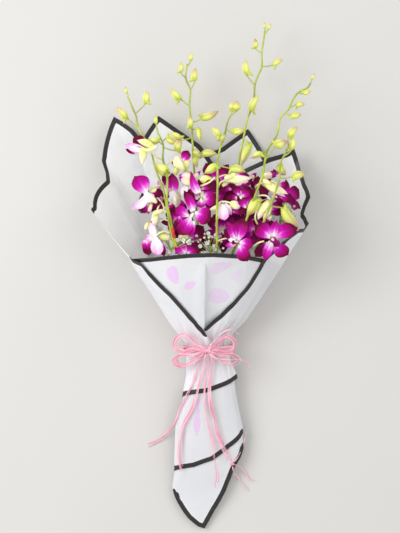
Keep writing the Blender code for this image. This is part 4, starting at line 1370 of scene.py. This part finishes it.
def stemMaterial():
    material, tree, shader = newMaterial("stemGreen")
    cloud = cloudNode(tree, 55.0)
    green = rampNode(tree, cloud, (
        (0.3, rgb(132, 146, 36)), (0.55, rgb(168, 182, 58)), (0.75, rgb(196, 206, 92)),
    ))
    pale = rampNode(tree, cloud, ((0.3, rgb(214, 206, 146)), (0.7, rgb(234, 216, 194))))
    tree.links.new(mixColour(tree, markNode(tree, "tone"), green, pale), shader.inputs["Base Color"])
    setFinish(shader, 0.42)
    bumpInto(tree, shader, cloudNode(tree, 260.0), 0.25, 0.0005)
    return material


def budMaterial():
    material, tree, shader = newMaterial("budGreen")
    reach, side, tone = (markNode(tree, name) for name in ("reach", "side", "tone"))
    cloud = cloudNode(tree, 90.0)
    level = mathNode(tree, "MULTIPLY_ADD", mathNode(tree, "SUBTRACT", cloud, 0.5), 0.5, reach)
    green = rampNode(tree, level, (
        (0.0, rgb(184, 198, 74)), (0.3, rgb(216, 224, 108)), (0.6, rgb(231, 232, 134)),
        (0.9, rgb(208, 208, 104)),
    ))
    seam = mathNode(tree, "ABSOLUTE", mathNode(tree, "COSINE", mathNode(tree, "MULTIPLY", side, 9.42)))
    seam = mathNode(tree, "MULTIPLY", mathNode(tree, "POWER", seam, 12.0), 0.5)
    blush = addNode(tree, "ShaderNodeMapRange", {
        "Value": mathNode(tree, "MULTIPLY_ADD", cloud, 0.35, reach), "From Min": 0.6, "From Max": 1.3,
    }).outputs[0]
    blush = mathNode(tree, "MULTIPLY", blush, tone, clamp=True)
    green = mixColour(tree, seam, green, (*rgb(168, 150, 84), 1))
    tree.links.new(mixColour(tree, blush, green, (*rgb(176, 104, 132), 1)), shader.inputs["Base Color"])
    setFinish(shader, 0.4, 0.1, 0.003)
    bumpInto(tree, shader, cloudNode(tree, 320.0, 2.0), 0.15, 0.0004)
    return material


def tapeMaterial():
    material, tree, shader = newMaterial("redTape")
    cloud = cloudNode(tree, 120.0, 2.0)
    red = rampNode(tree, cloud, ((0.3, rgb(196, 40, 40)), (0.7, rgb(226, 66, 58))))
    tree.links.new(red, shader.inputs["Base Color"])
    setFinish(shader, 0.45)
    return material


stemFinish, budFinish, redFinish = stemMaterial(), budMaterial(), tapeMaterial()
budLook = {
    "plumpness": 1.15,
    "sides": 12,
    # shares of the length where a ring of points lies
    "rings": (0, 0.05, 0.1, 0.16, 0.23, 0.32, 0.42, 0.53, 0.64, 0.75, 0.85, 0.93, 1.0),
    # share of the length and of the half width
    "profile": (
        (0, 0.16), (0.06, 0.36), (0.14, 0.66), (0.28, 0.92), (0.42, 1.0), (0.56, 0.93), (0.7, 0.74),
        (0.83, 0.47), (0.93, 0.2), (1.0, 0.04),
    ),
    # buds wider than this have a spur, which reaches out no more than its length
    "spurFrom": 6,
    "spurLength": 8.5,
}


def bundlePoints(angle):
    across = (0.0, 0.0)
    if angle is not None:
        turn = math.radians(angle)
        across = (stems["bundlePitch"] * math.cos(turn), stems["bundlePitch"] * math.sin(turn))
    x, z = stems["bundleX"] + across[0], stems["bundleZ"] + across[1]
    return (x, stems["bundleBottomY"], z), (x, stems["bundleTopY"], z)


def nearestOn(route, point):
    return min(route, key=lambda other: (other - Vector(point)).length)


def taperedRadii(route, size, shares, radii):
    return [float(radius) * size for radius in np.interp(np.linspace(0, 1, len(route)), shares, radii)]


def addBud(shape, start, end, width, chance, finish):
    start, end = Vector(start), Vector(end)
    length = (end - start).length
    width *= budLook["plumpness"]
    axis = (end - start).normalized()
    side = axis.cross(Vector((0, 0, 1)))
    side = side.normalized() if side.length > 0.1 else axis.orthogonal().normalized()
    up = side.cross(axis)
    chin = (side * chance.choice((-1, 1)) * 0.9 + up * chance.uniform(-0.3, 0.6)).normalized()
    bend = chance.uniform(-0.08, 0.08)
    tone = chance.random() ** 1.3
    rings, sides = budLook["rings"], budLook["sides"]
    points, reach, around = [], [], []
    for share in rings:
        radius = float(np.interp(share, *zip(*budLook["profile"]))) * width / 2
        middle = start + axis * length * share + side * bend * length * math.sin(math.pi * share)
        for step in range(sides):
            turn = 2 * math.pi * step / sides
            out = side * math.cos(turn) + up * math.sin(turn)
            swell = 1 + 0.35 * math.exp(-((share - 0.2) / 0.12) ** 2) * max(0.0, out.dot(chin)) ** 2
            groove = 1 - 0.09 * abs(math.cos(1.5 * turn)) ** 6
            points.append(middle + out * radius * swell * groove)
            reach.append(share)
            around.append(step / sides)
    first = addPoints(shape, points, reach, around, [tone] * len(points))
    faces = ringFaces(first, len(rings), sides)
    faces.append(tuple(first + step for step in reversed(range(sides))))
    faces.append(tuple(first + (len(rings) - 1) * sides + step for step in range(sides)))
    addFaces(shape, faces, finish)
    if width > budLook["spurFrom"]:
        root = start + axis * length * 0.24
        far = min(0.85, budLook["spurLength"] / width)
        spur = smoothRoute((
            root, start + axis * length * 0.1 + chin * width * 0.55 * far, start + chin * width * far,
        ), 1.0)
        radii = taperedRadii(spur, width, (0, 0.6, 1), (0.36, 0.22, 0.06))
        addTube(shape, spur, radii, 10, finish, tone=tone * 0.5, flat=0.85, ends=(0.25, 0.0))


def addSpray(name, place, foot, route, buds):
    chance = random.Random(name)
    shape = newShape()
    fine = ((*foot, stems["rowZ"]), *bundlePoints(place), *route)
    for spacing in stems["pointSpacing"]:
        fine = smoothRoute(fine, spacing)
    travelled, radii = 0.0, []
    total = sum((b - a).length for a, b in zip(fine, fine[1:]))
    for index, point in enumerate(fine):
        travelled += (point - fine[index - 1]).length if index else 0
        share = travelled / total
        nearNode = (travelled % stems["nodeSpacing"]) / stems["nodeSpacing"]
        swell = 1 + stems["nodeSwell"] * math.exp(-((nearNode - 0.5) / 0.07) ** 2)
        radii.append((stems["footRadius"] + share * (stems["tipRadius"] - stems["footRadius"])) * swell)
    addTube(shape, fine, radii, 10, 0)
    for leaving, start, end, width in buds:
        root, start, end = nearestOn(fine, leaving), Vector(start), Vector(end)
        middle = root.lerp(start, 0.5) + Vector((0, -0.6, 0.8))
        into = start + (end - start) * 0.06
        stalk = smoothRoute((root, middle, start, into), 2.0)
        addTube(shape, stalk, stems["budStalkRadius"], 7, 0, tone=0.15)
        addBud(shape, start, end, width, chance, 1)
    seats = []
    for bearer, centre, facing, _, width, *_ in blooms.values():
        if bearer == name:
            away = Vector(facing).normalized()
            seats.append([Vector(centre) - away * (share * width) for share in stems["seatShares"]])
    for bloom in portraits.values():
        if bloom["spray"] == name:
            seats.append([Vector(bloom["heart"]) - Vector((0, 0, depth)) for depth in stems["seatDepths"]])
    for back, seat in seats:
        root = nearestOn(fine, back)
        middle = root.lerp(back, 0.5) + Vector((0, 4.0, 3.0))
        route = smoothRoute((root, middle, back, seat), 2.5)
        radii = [stems["pedicelRadius"] * (0.9 + 0.5 * index / len(route)) for index in range(len(route))]
        addTube(shape, route, radii, 8, 0, tone=0.8)
    if name == "spray_left":
        for low, high in stems["redTape"]:
            part = [p for p in fine if low <= p.y <= high]
            if len(part) > 2:
                addTube(shape, smoothRoute(part, 1.5), 2.4, 10, 2, flat=0.8, turn=5.0)
    finishPiece(shape, name + "_stem", [stemFinish, budFinish, redFinish], [name])


for sprayName, (place, foot, route, buds) in stems["sprays"].items():
    addSpray(sprayName, place, foot, route, buds)
print("sprays done")

tepals = {
    "rows": 15,
    "columns": 11,
    "thickness": 0.55,
    "broad": (
        (0, 0.2), (0.08, 0.24), (0.2, 0.5), (0.35, 0.8), (0.5, 0.96), (0.63, 1.0), (0.76, 0.93),
        (0.87, 0.72), (0.95, 0.42), (1.0, 0.08),
    ),
    "narrow": (
        (0, 0.5), (0.1, 0.62), (0.28, 0.88), (0.46, 1.0), (0.62, 0.95), (0.76, 0.78), (0.88, 0.5),
        (0.96, 0.24), (1.0, 0.05),
    ),
    "even": (
        (0, 0.5), (0.12, 0.8), (0.3, 0.98), (0.55, 1.0), (0.78, 0.92), (0.9, 0.7), (0.97, 0.4), (1.0, 0.1),
    ),
    "tapered": (
        (0, 0.6), (0.1, 0.85), (0.25, 1.0), (0.45, 0.92), (0.65, 0.7), (0.85, 0.42), (0.96, 0.22),
        (1.0, 0.08),
    ),
    # lift at the heart and at the tip, in degrees: closed, and how much less when fully open
    "lifts": ((82, 56), (62, 70)),
    # angle from the upper sepal, length, width, profile, set back, ruffle
    "parts": (
        (0, 0.5, 0.25, "narrow", 0.5, 0.05),
        (128, 0.47, 0.27, "narrow", 0.6, 0.05),
        (-128, 0.47, 0.27, "narrow", 0.6, 0.05),
        (62, 0.5, 0.42, "broad", 0.0, 0.1),
        (-62, 0.5, 0.42, "broad", 0.0, 0.1),
    ),
}


# colours from the heart of a petal outwards, its veins, and the pale rib along its middle
def petalMaterial(name, stops, veinDark, ribLight, roughness):
    material, tree, shader = newMaterial(name)
    reach, side, tone = (markNode(tree, mark) for mark in ("reach", "side", "tone"))
    cloud = cloudNode(tree, 140.0)
    across = mathNode(tree, "POWER", mathNode(tree, "ABSOLUTE", side), 2.0)
    level = mathNode(tree, "MULTIPLY_ADD", across, 0.03, reach)
    # the tone darkens a petal towards its tip: its own colour, and painted shade where petals set deep in
    # the bouquet have high tones
    level = mathNode(tree, "MULTIPLY_ADD", tone, reach, level)
    level = mathNode(tree, "MULTIPLY_ADD", mathNode(tree, "SUBTRACT", cloud, 0.5), 0.2, level)
    rib = mathNode(tree, "EXPONENT", mathNode(tree, "MULTIPLY", across, -38.0))
    rib = mathNode(tree, "MULTIPLY", rib, mathNode(tree, "SUBTRACT", 1.0, reach, clamp=True))
    level = mathNode(tree, "MULTIPLY_ADD", rib, -ribLight, level)
    colour = rampNode(tree, level, stops)
    vein = veinNode(tree, side, cloud, 17.0)
    colour = mixColour(tree, mathNode(tree, "MULTIPLY", vein, 0.3), colour, (*veinDark, 1))
    tree.links.new(colour, shader.inputs["Base Color"])
    setFinish(shader, roughness, 0.1, 0.002)
    shader.inputs["Specular IOR Level"].default_value = 0.12
    height = mathNode(tree, "MULTIPLY_ADD", vein, -0.6, mathNode(tree, "MULTIPLY", cloud, 0.8))
    bumpInto(tree, shader, height, 0.3, 0.0006)
    return material


petalFront = petalMaterial("petalFront", (
    (0.0, rgb(252, 246, 248)), (0.13, rgb(248, 224, 240)), (0.27, rgb(232, 142, 224)),
    (0.43, rgb(206, 34, 186)), (0.64, rgb(174, 0, 136)), (0.86, rgb(148, 0, 98)),
    (1.1, rgb(126, 0, 70)), (1.6, rgb(96, 0, 48)),
), rgb(140, 0, 96), 0.2, 0.58)
petalBack = petalMaterial("petalBack", (
    (0.0, rgb(222, 228, 122)), (0.22, rgb(246, 246, 166)), (0.45, rgb(252, 244, 200)),
    (0.7, rgb(246, 226, 208)), (1.0, rgb(232, 178, 208)), (1.3, rgb(196, 84, 164)),
    (1.7, rgb(140, 20, 104)),
), rgb(190, 120, 150), 0.2, 0.58)
lipFinish = petalMaterial("lipPurple", (
    (0.0, rgb(244, 214, 228)), (0.15, rgb(206, 80, 176)), (0.35, rgb(146, 6, 110)),
    (0.75, rgb(104, 0, 66)), (1.0, rgb(132, 4, 96)),
), rgb(70, 0, 46), 0.1, 0.45)
columnFinish = petalMaterial("columnCream", (
    (0.0, rgb(214, 220, 128)), (0.4, rgb(244, 240, 184)), (0.8, rgb(252, 244, 226)),
    (1.0, rgb(253, 250, 244)),
), rgb(232, 196, 212), 0.1, 0.5)
bloomFinishes = [petalFront, petalBack, lipFinish, columnFinish]


# a petal that opens from the heart in a direction, lifted off the bloom's face by the lifts
def tepalGrid(direction, length, width, profile, start, lifts, cup, ruffle, phase, setBack):
    rows, columns = tepals["rows"], tepals["columns"]
    u = np.linspace(0, 1, rows)
    v = np.linspace(-1, 1, columns)
    lift = np.radians(lifts[0] + (lifts[1] - lifts[0]) * u)
    step = length / (rows - 1)
    r = start + np.concatenate([[0], np.cumsum(np.cos(lift[:-1]) * step)])
    z = np.concatenate([[0], np.cumsum(np.sin(lift[:-1]) * step)]) - setBack
    profileU, profileW = np.array(tepals[profile]).T
    half = np.interp(u, profileU, profileW) * width / 2
    side = half[:, None] * v[None, :]
    squeeze = 1 - 0.12 * v[None, :] ** 2
    tipBack = -0.06 * length * (v[None, :] ** 2) * (u[:, None] ** 2)
    z = z[:, None] + cup * half[:, None] * v[None, :] ** 2
    z = z + ruffle * half[:, None] * np.sin(u[:, None] * 9 + phase + 1.8 * v[None, :]) * v[None, :] ** 2
    z = z - 0.05 * half[:, None] * np.exp(-(v[None, :] / 0.16) ** 2)
    out = r[:, None] + tipBack
    turn = math.radians(direction)
    x = out * math.cos(turn) - side * squeeze * math.sin(turn)
    y = out * math.sin(turn) + side * squeeze * math.cos(turn)
    return np.stack([x, y, z], axis=2)


# share of the lip's length and the value there: slope and curl in degrees, half width in lip sizes
lips = {
    "rows": 16,
    "columns": 13,
    "length": 0.44,
    "slope": ((0, 20), (0.35, 35), (0.6, 68), (1.0, 104)),
    "halfWidth": (
        (0, 0.05), (0.12, 0.12), (0.3, 0.185), (0.48, 0.12), (0.6, 0.11), (0.76, 0.15), (0.9, 0.1),
        (0.97, 0.05), (1, 0.012),
    ),
    "curl": ((0, 120), (0.3, 105), (0.5, 62), (0.7, 34), (1, 20)),
}


def lipGrid(size, turn):
    rows, columns = lips["rows"], lips["columns"]
    u = np.linspace(0, 1, rows)
    v = np.linspace(-1, 1, columns)
    length = lips["length"] * size
    down, half, curl = (np.interp(u, *zip(*lips[key])) for key in ("slope", "halfWidth", "curl"))
    down, half, curl = np.radians(down), half * size, np.radians(curl)
    step = length / (rows - 1)
    y = -0.035 * size - np.concatenate([[0], np.cumsum(np.sin(down[:-1]) * step)])
    z = 0.01 * size + np.concatenate([[0], np.cumsum(np.cos(down[:-1]) * step)])
    angle = curl[:, None] * v[None, :]
    radius = half / curl
    across = radius[:, None] * np.sin(angle)
    inward = radius[:, None] * (1 - np.cos(angle))
    ruffle = 0.02 * size * np.sin(u[:, None] * 14 + v[None, :] * 2) * v[None, :] ** 2 * u[:, None]
    normalY, normalZ = np.cos(down)[:, None], np.sin(down)[:, None]
    raised = inward + ruffle
    points = np.stack([across, y[:, None] + raised * normalY, z[:, None] + raised * normalZ], axis=2)
    turn = math.radians(turn)
    spun = points.copy()
    spun[..., 0] = points[..., 0] * math.cos(turn) - points[..., 1] * math.sin(turn)
    spun[..., 1] = points[..., 0] * math.sin(turn) + points[..., 1] * math.cos(turn)
    return spun


def flowerMatrix(centre, facing, angle):
    forward = Vector(facing).normalized()
    turn = math.radians(angle)
    up = Vector((math.cos(turn), math.sin(turn), 0))
    up = (up - forward * up.dot(forward))
    up = up.normalized() if up.length > 0.05 else forward.orthogonal().normalized()
    right = up.cross(forward)
    return np.array([right, up, forward]).T, np.array(centre, float)


# column, chin and neck, in shares of the bloom's size: points (y, z), spacing, radii along it,
# sides, flatness, shades of the ends
bloomParts = {
    "column": (
        ((-0.01, -0.03), (0.0, 0.05), (-0.005, 0.11), (-0.03, 0.155), (-0.045, 0.165)), 0.9,
        ((0, 0.03), (0.5, 0.034), (0.85, 0.042), (1, 0.016)), 10, 0.8, (0.0, 1.0),
    ),
    "chin": (
        ((-0.005, 0.03), (-0.02, -0.03), (-0.075, -0.085), (-0.125, -0.11), (-0.15, -0.105)), 1.2,
        ((0, 0.07), (0.3, 0.068), (0.7, 0.04), (1, 0.012)), 12, 0.85, (0.75, 0.05),
    ),
    "neck": (
        ((-0.01, 0.0), (0.0, -0.06), (0.0, -0.13)), 1.2,
        ((0, 0.06), (0.5, 0.045), (1, 0.02)), 10, 1.0, (0.6, 0.15),
    ),
}


def addFlower(name, centre, facing, angle, size, openness, tone, lipTurn):
    chance = random.Random(name)
    axes, middle = flowerMatrix(centre, facing, angle)
    shape = newShape()

    def placed(points):
        return points @ axes.T + middle

    for around, length, width, profile, setBack, ruffle in tepals["parts"]:
        wide = profile == "broad"
        opening = openness + chance.uniform(-0.06, 0.06)
        heartLift, tipLift = (closed - less * opening for closed, less in tepals["lifts"])
        lifts = (heartLift + (0 if wide else -4), tipLift + chance.uniform(-10, 8))
        grid = tepalGrid(
            90 + around + chance.uniform(-5, 5), length * size * chance.uniform(0.94, 1.03),
            width * size * chance.uniform(0.94, 1.06), profile, 0.03 * size, lifts,
            chance.uniform(0.02, 0.22) if wide else chance.uniform(0.1, 0.3),
            ruffle * chance.uniform(0.6, 1.3), chance.uniform(0, 6.28), setBack,
        )
        shade = tone + chance.uniform(-0.05, 0.05)
        addLeaf(shape, placed(grid), tepals["thickness"], (0, 1), shade)
    addLeaf(shape, placed(lipGrid(size, lipTurn)), tepals["thickness"], (2, 2), tone * 0.5)
    for points, spacing, radii, sides, flat, ends in bloomParts.values():
        route = smoothRoute([Vector(placed(np.array((0, *point)) * size)) for point in points], spacing)
        addTube(shape, route, taperedRadii(route, size, *zip(*radii)), sides, 3, flat=flat, ends=ends)
    finishPiece(shape, name + "_bloom", bloomFinishes, [name])


def addPetal(shape, start, tip, width, outline, shown, tone, bend, chance):
    rows, columns = tepals["rows"], tepals["columns"]
    u, v = np.linspace(0, 1, rows), np.linspace(-1, 1, columns)
    line = tip - start
    length = np.linalg.norm(line)
    ahead = line / length
    side = np.cross((0.0, 0.0, 1.0), ahead)
    side /= np.linalg.norm(side)
    up = np.cross(ahead, side)
    bow = np.sin(np.pi * u)
    middle = start + line * u[:, None]
    middle = middle + side * (bend * length * bow)[:, None] + up * (0.09 * length * bow)[:, None]
    half = np.interp(u, *np.array(tepals[outline]).T) * width / 2
    facing = 1 if shown == "front" else -1
    cup = facing * chance.uniform(0.14, 0.32) if shown == "front" else -chance.uniform(0.45, 0.65)
    ruffle = 0.1 * np.sin(u[:, None] * 8 + chance.uniform(0, 6.28) + 1.7 * v[None, :]) * v[None, :] ** 2
    fold = -0.09 * facing * np.exp(-(v[None, :] / 0.15) ** 2)
    raised = half[:, None] * (cup * v[None, :] ** 2 + ruffle + fold)
    across = half[:, None] * v[None, :]
    squeeze = -0.05 * length * v[None, :] ** 2 * u[:, None] ** 2
    grid = middle[:, None, :] + across[..., None] * side + raised[..., None] * up
    grid = grid + squeeze[..., None] * ahead
    addLeaf(shape, grid, tepals["thickness"], (0, 1) if facing > 0 else (1, 0), tone)


def addPortrait(name, bloom):
    chance = random.Random(name)
    shape = newShape()
    heart = Vector(bloom["heart"])
    for start, tip, *rest in bloom["tepals"]:
        addPetal(shape, np.array(heart + Vector(start)), np.array(heart + Vector(tip)), *rest, chance)
    if "lip" in bloom:
        direction, size = bloom["lip"]
        grid = lipGrid(size, direction + 90) + np.array(heart)
        addLeaf(shape, grid, tepals["thickness"], (2, 2), 0.0)
    if "column" in bloom:
        direction, length, width = bloom["column"]
        turn = math.radians(direction)
        ahead = Vector((math.cos(turn), math.sin(turn), 0))
        start = heart + Vector((0, 0, 1))
        bowed = start + ahead * length * 0.5 + Vector((0, 0, 2.2))
        route = smoothRoute((start, bowed, start + ahead * length), 0.8)
        radii = taperedRadii(route, width / 2, (0, 0.3, 0.75, 1), (0.7, 0.9, 1.0, 0.35))
        addTube(shape, route, radii, 10, 3, flat=0.8, ends=(0.7, 1.0))
    for points, width, ends in bloom.get("horns", ()):
        route = smoothRoute([heart + Vector(point) for point in points], 1.0)
        radii = taperedRadii(route, width / 2, (0, 0.12, 0.4, 0.75, 1), (0.35, 0.85, 1.0, 0.7, 0.3))
        addTube(shape, route, radii, 14, 3, flat=0.7, ends=ends)
    for points in bloom.get("stalks", ()):
        route = smoothRoute([heart + Vector(point) for point in points], 1.2)
        addTube(shape, route, 1.15, 8, 3, ends=(0.1, 0.7))
    finishPiece(shape, name + "_bloom", bloomFinishes, [name])


for flowerName, bloom in blooms.items():
    addFlower(flowerName, *bloom[1:])
for flowerName, bloom in portraits.items():
    addPortrait(flowerName, bloom)
print("flowers done")

gypsophila = {
    "sprigs": {
        "gypsophila_left": (
            ((-14, -40, 46), (-19.8, -20, 55), (-26, 0, 65), (-45, 20, 84), (-38, 41, 97)),
            ((-33, 46, 102), (-25, 45, 104), (-17, 44, 104), (-50, 48, 92), (-57, 60, 88), (-44, 30, 92)),
        ),
        "gypsophila_middle": (
            ((7.2, -60, 39), (9.8, -20, 60.7), (11.9, 12, 78), (9, 36, 95)),
            ((6, 54, 100), (5, 42, 103), (19, 50, 100), (-4, 38, 98), (14, 34, 99)),
        ),
        "gypsophila_right": (
            ((37.6, -20, 50), (48.5, 14, 66), (62, 33, 67), (84, 46, 67), (104, 62, 72)),
            ((112, 84, 80), (106, 92, 78), (108, 72, 84), (114, 76, 80)),
        ),
    },
    "floretsPerHead": 6,
    "spread": 9.5,
    "floret": 1.9,
    # rings of a floret: petals, how far they rise
    "rings": ((6, 0.35), (5, 0.9)),
    "petalOutline": (0.3, 0.85, 1.0, 0.45),
    "petalThickness": 0.18,
    "twigRadius": 0.28,
}


def floretMaterial():
    material, tree, shader = newMaterial("gypsophilaCream")
    level = mathNode(tree, "MULTIPLY_ADD", cloudNode(tree, 300.0, 2.0), 0.3, markNode(tree, "reach"))
    colour = rampNode(tree, level, (
        (0.2, rgb(186, 194, 124)), (0.5, rgb(240, 238, 214)), (1.0, rgb(250, 248, 242)),
    ))
    tree.links.new(colour, shader.inputs["Base Color"])
    setFinish(shader, 0.6, 0.1)
    return material


floretFinish = floretMaterial()


def addFloret(shape, centre, axis, size, chance):
    axis = Vector(axis).normalized()
    side = axis.orthogonal().normalized()
    up = axis.cross(side)
    outline = gypsophila["petalOutline"]
    for ring, (count, lean) in enumerate(gypsophila["rings"]):
        for step in range(count):
            turn = 2 * math.pi * (step + 0.5 * ring) / count + chance.uniform(-0.2, 0.2)
            out = side * math.cos(turn) + up * math.sin(turn)
            across = axis.cross(out)
            points = np.zeros((4, 3, 3))
            for i in range(4):
                u = i / 3
                for j in range(3):
                    v = j - 1
                    half = size * 0.42 * outline[i]
                    lift = size * (lean * u + 0.12 * v * v - 0.1 * u * u)
                    spread = out * size * u * (1 - 0.35 * lean)
                    points[i, j] = Vector(centre) + spread + across * v * half + axis * lift
            addLeaf(shape, points, gypsophila["petalThickness"], (1, 1), 0.0, nearReach=0.2)


def addSprig(name, stem, heads):
    chance = random.Random(name)
    shape = newShape()
    route = smoothRoute(stem, 5)
    addTube(shape, route, [0.9 - 0.4 * i / len(route) for i in range(len(route))], 7, 0)
    for head in heads:
        root = route[-3]
        for floret in range(gypsophila["floretsPerHead"]):
            offset = Vector([chance.gauss(0, sigma) for sigma in (1, 1, 0.5)]) * gypsophila["spread"] * 0.5
            spot = Vector(head) + (offset if floret else Vector((0, 0, 0)))
            middle = root.lerp(spot, 0.55) + Vector([chance.uniform(-2, most) for most in (2, 2, 1)])
            twig = smoothRoute((root, middle, spot - Vector((0, 0, 0.8))), 3)
            addTube(shape, twig, gypsophila["twigRadius"], 5, 0, tone=0.1)
            tilt = Vector((chance.uniform(-0.7, 0.7), chance.uniform(-0.7, 0.7), 1))
            grown = chance.uniform(0.75, 1.2) if floret else 1.7
            addFloret(shape, spot, tilt, gypsophila["floret"] * grown, chance)
    finishPiece(shape, name + "_sprig", [stemFinish, floretFinish], [name])


for sprigName, (stem, heads) in gypsophila["sprigs"].items():
    addSprig(sprigName, stem, heads)

stemTape = {
    "centreY": -104.0, "width": 12.0, "radius": 9.4, "thickness": 0.45, "turns": 5, "stepsPerTurn": 36,
}


def addStemTape():
    material, tree, shader = newMaterial("stemTapeGreen")
    cloud = cloudNode(tree, 160.0)
    green = rampNode(tree, cloud, ((0.3, rgb(70, 96, 50)), (0.7, rgb(98, 124, 70))))
    tree.links.new(green, shader.inputs["Base Color"])
    setFinish(shader, 0.5)
    bumpInto(tree, shader, cloud, 0.4, 0.0006)
    shape = newShape()
    steps = stemTape["stepsPerTurn"] * stemTape["turns"]
    rows = []
    for step in range(steps + 1):
        turn = 2 * math.pi * step / stemTape["stepsPerTurn"]
        middle = stemTape["centreY"] + (step / steps - 0.5) * stemTape["width"] * 0.55
        row = []
        for edge in (-1, -0.5, 0, 0.5, 1):
            radius = stemTape["radius"] - 0.5 + 0.12 * edge * edge + 0.25 * step / steps
            row.append((
                stems["bundleX"] + radius * math.cos(turn), middle + edge * stemTape["width"] * 0.22,
                stems["bundleZ"] + radius * math.sin(turn),
            ))
        rows.append(row)
    addLeaf(shape, np.array(rows), stemTape["thickness"], (0, 0), 0.0)
    finishPiece(shape, "stem_tape_wrap", [material], ["stem_tape"])


addStemTape()
print("gypsophila and tape done")

studio = {
    "floor": rgb(205, 203, 200),
    "world": 0.84,
    # lamps, in metres and watts: x, y, z, side, power
    "key": (-1.6, 0.5, 1.5, 1.3, 31.0),
    "fill": (1.5, 1.1, 1.7, 1.6, 11.0),
    "aim": (0, 0, 0.05),
}


def addStudio():
    mesh = bpy.data.meshes.new("floor")
    mesh.from_pydata([(-4, -4, 0), (4, -4, 0), (4, 4, 0), (-4, 4, 0)], [], [(0, 1, 2, 3)])
    material, tree, shader = newMaterial("paleFloor")
    cloud = cloudNode(tree, 3.0, 2.0)
    base = studio["floor"]
    pale = rampNode(tree, cloud, ((0.3, tuple(c * 0.97 for c in base)), (0.7, base)))
    tree.links.new(pale, shader.inputs["Base Color"])
    setFinish(shader, 0.8)
    mesh.materials.append(material)
    floor = bpy.data.objects.new("floor", mesh)
    scene.collection.objects.link(floor)
    world = bpy.data.worlds.new("studio")
    world.use_nodes = True
    sky = world.node_tree.nodes["Background"].inputs
    sky["Color"].default_value = (1, 1, 1, 1)
    sky["Strength"].default_value = studio["world"]
    scene.world = world
    for name in ("key", "fill"):
        x, y, z, side, power = studio[name]
        data = bpy.data.lights.new(name + "Light", "AREA")
        data.shape = "SQUARE"
        data.size = side
        data.energy = power
        light = bpy.data.objects.new(name + "Light", data)
        light.location = (x, y, z)
        towards = Vector(studio["aim"]) - light.location
        light.rotation_euler = towards.to_track_quat("-Z", "Y").to_euler()
        scene.collection.objects.link(light)
    scene.view_settings.view_transform = "Standard"


addStudio()
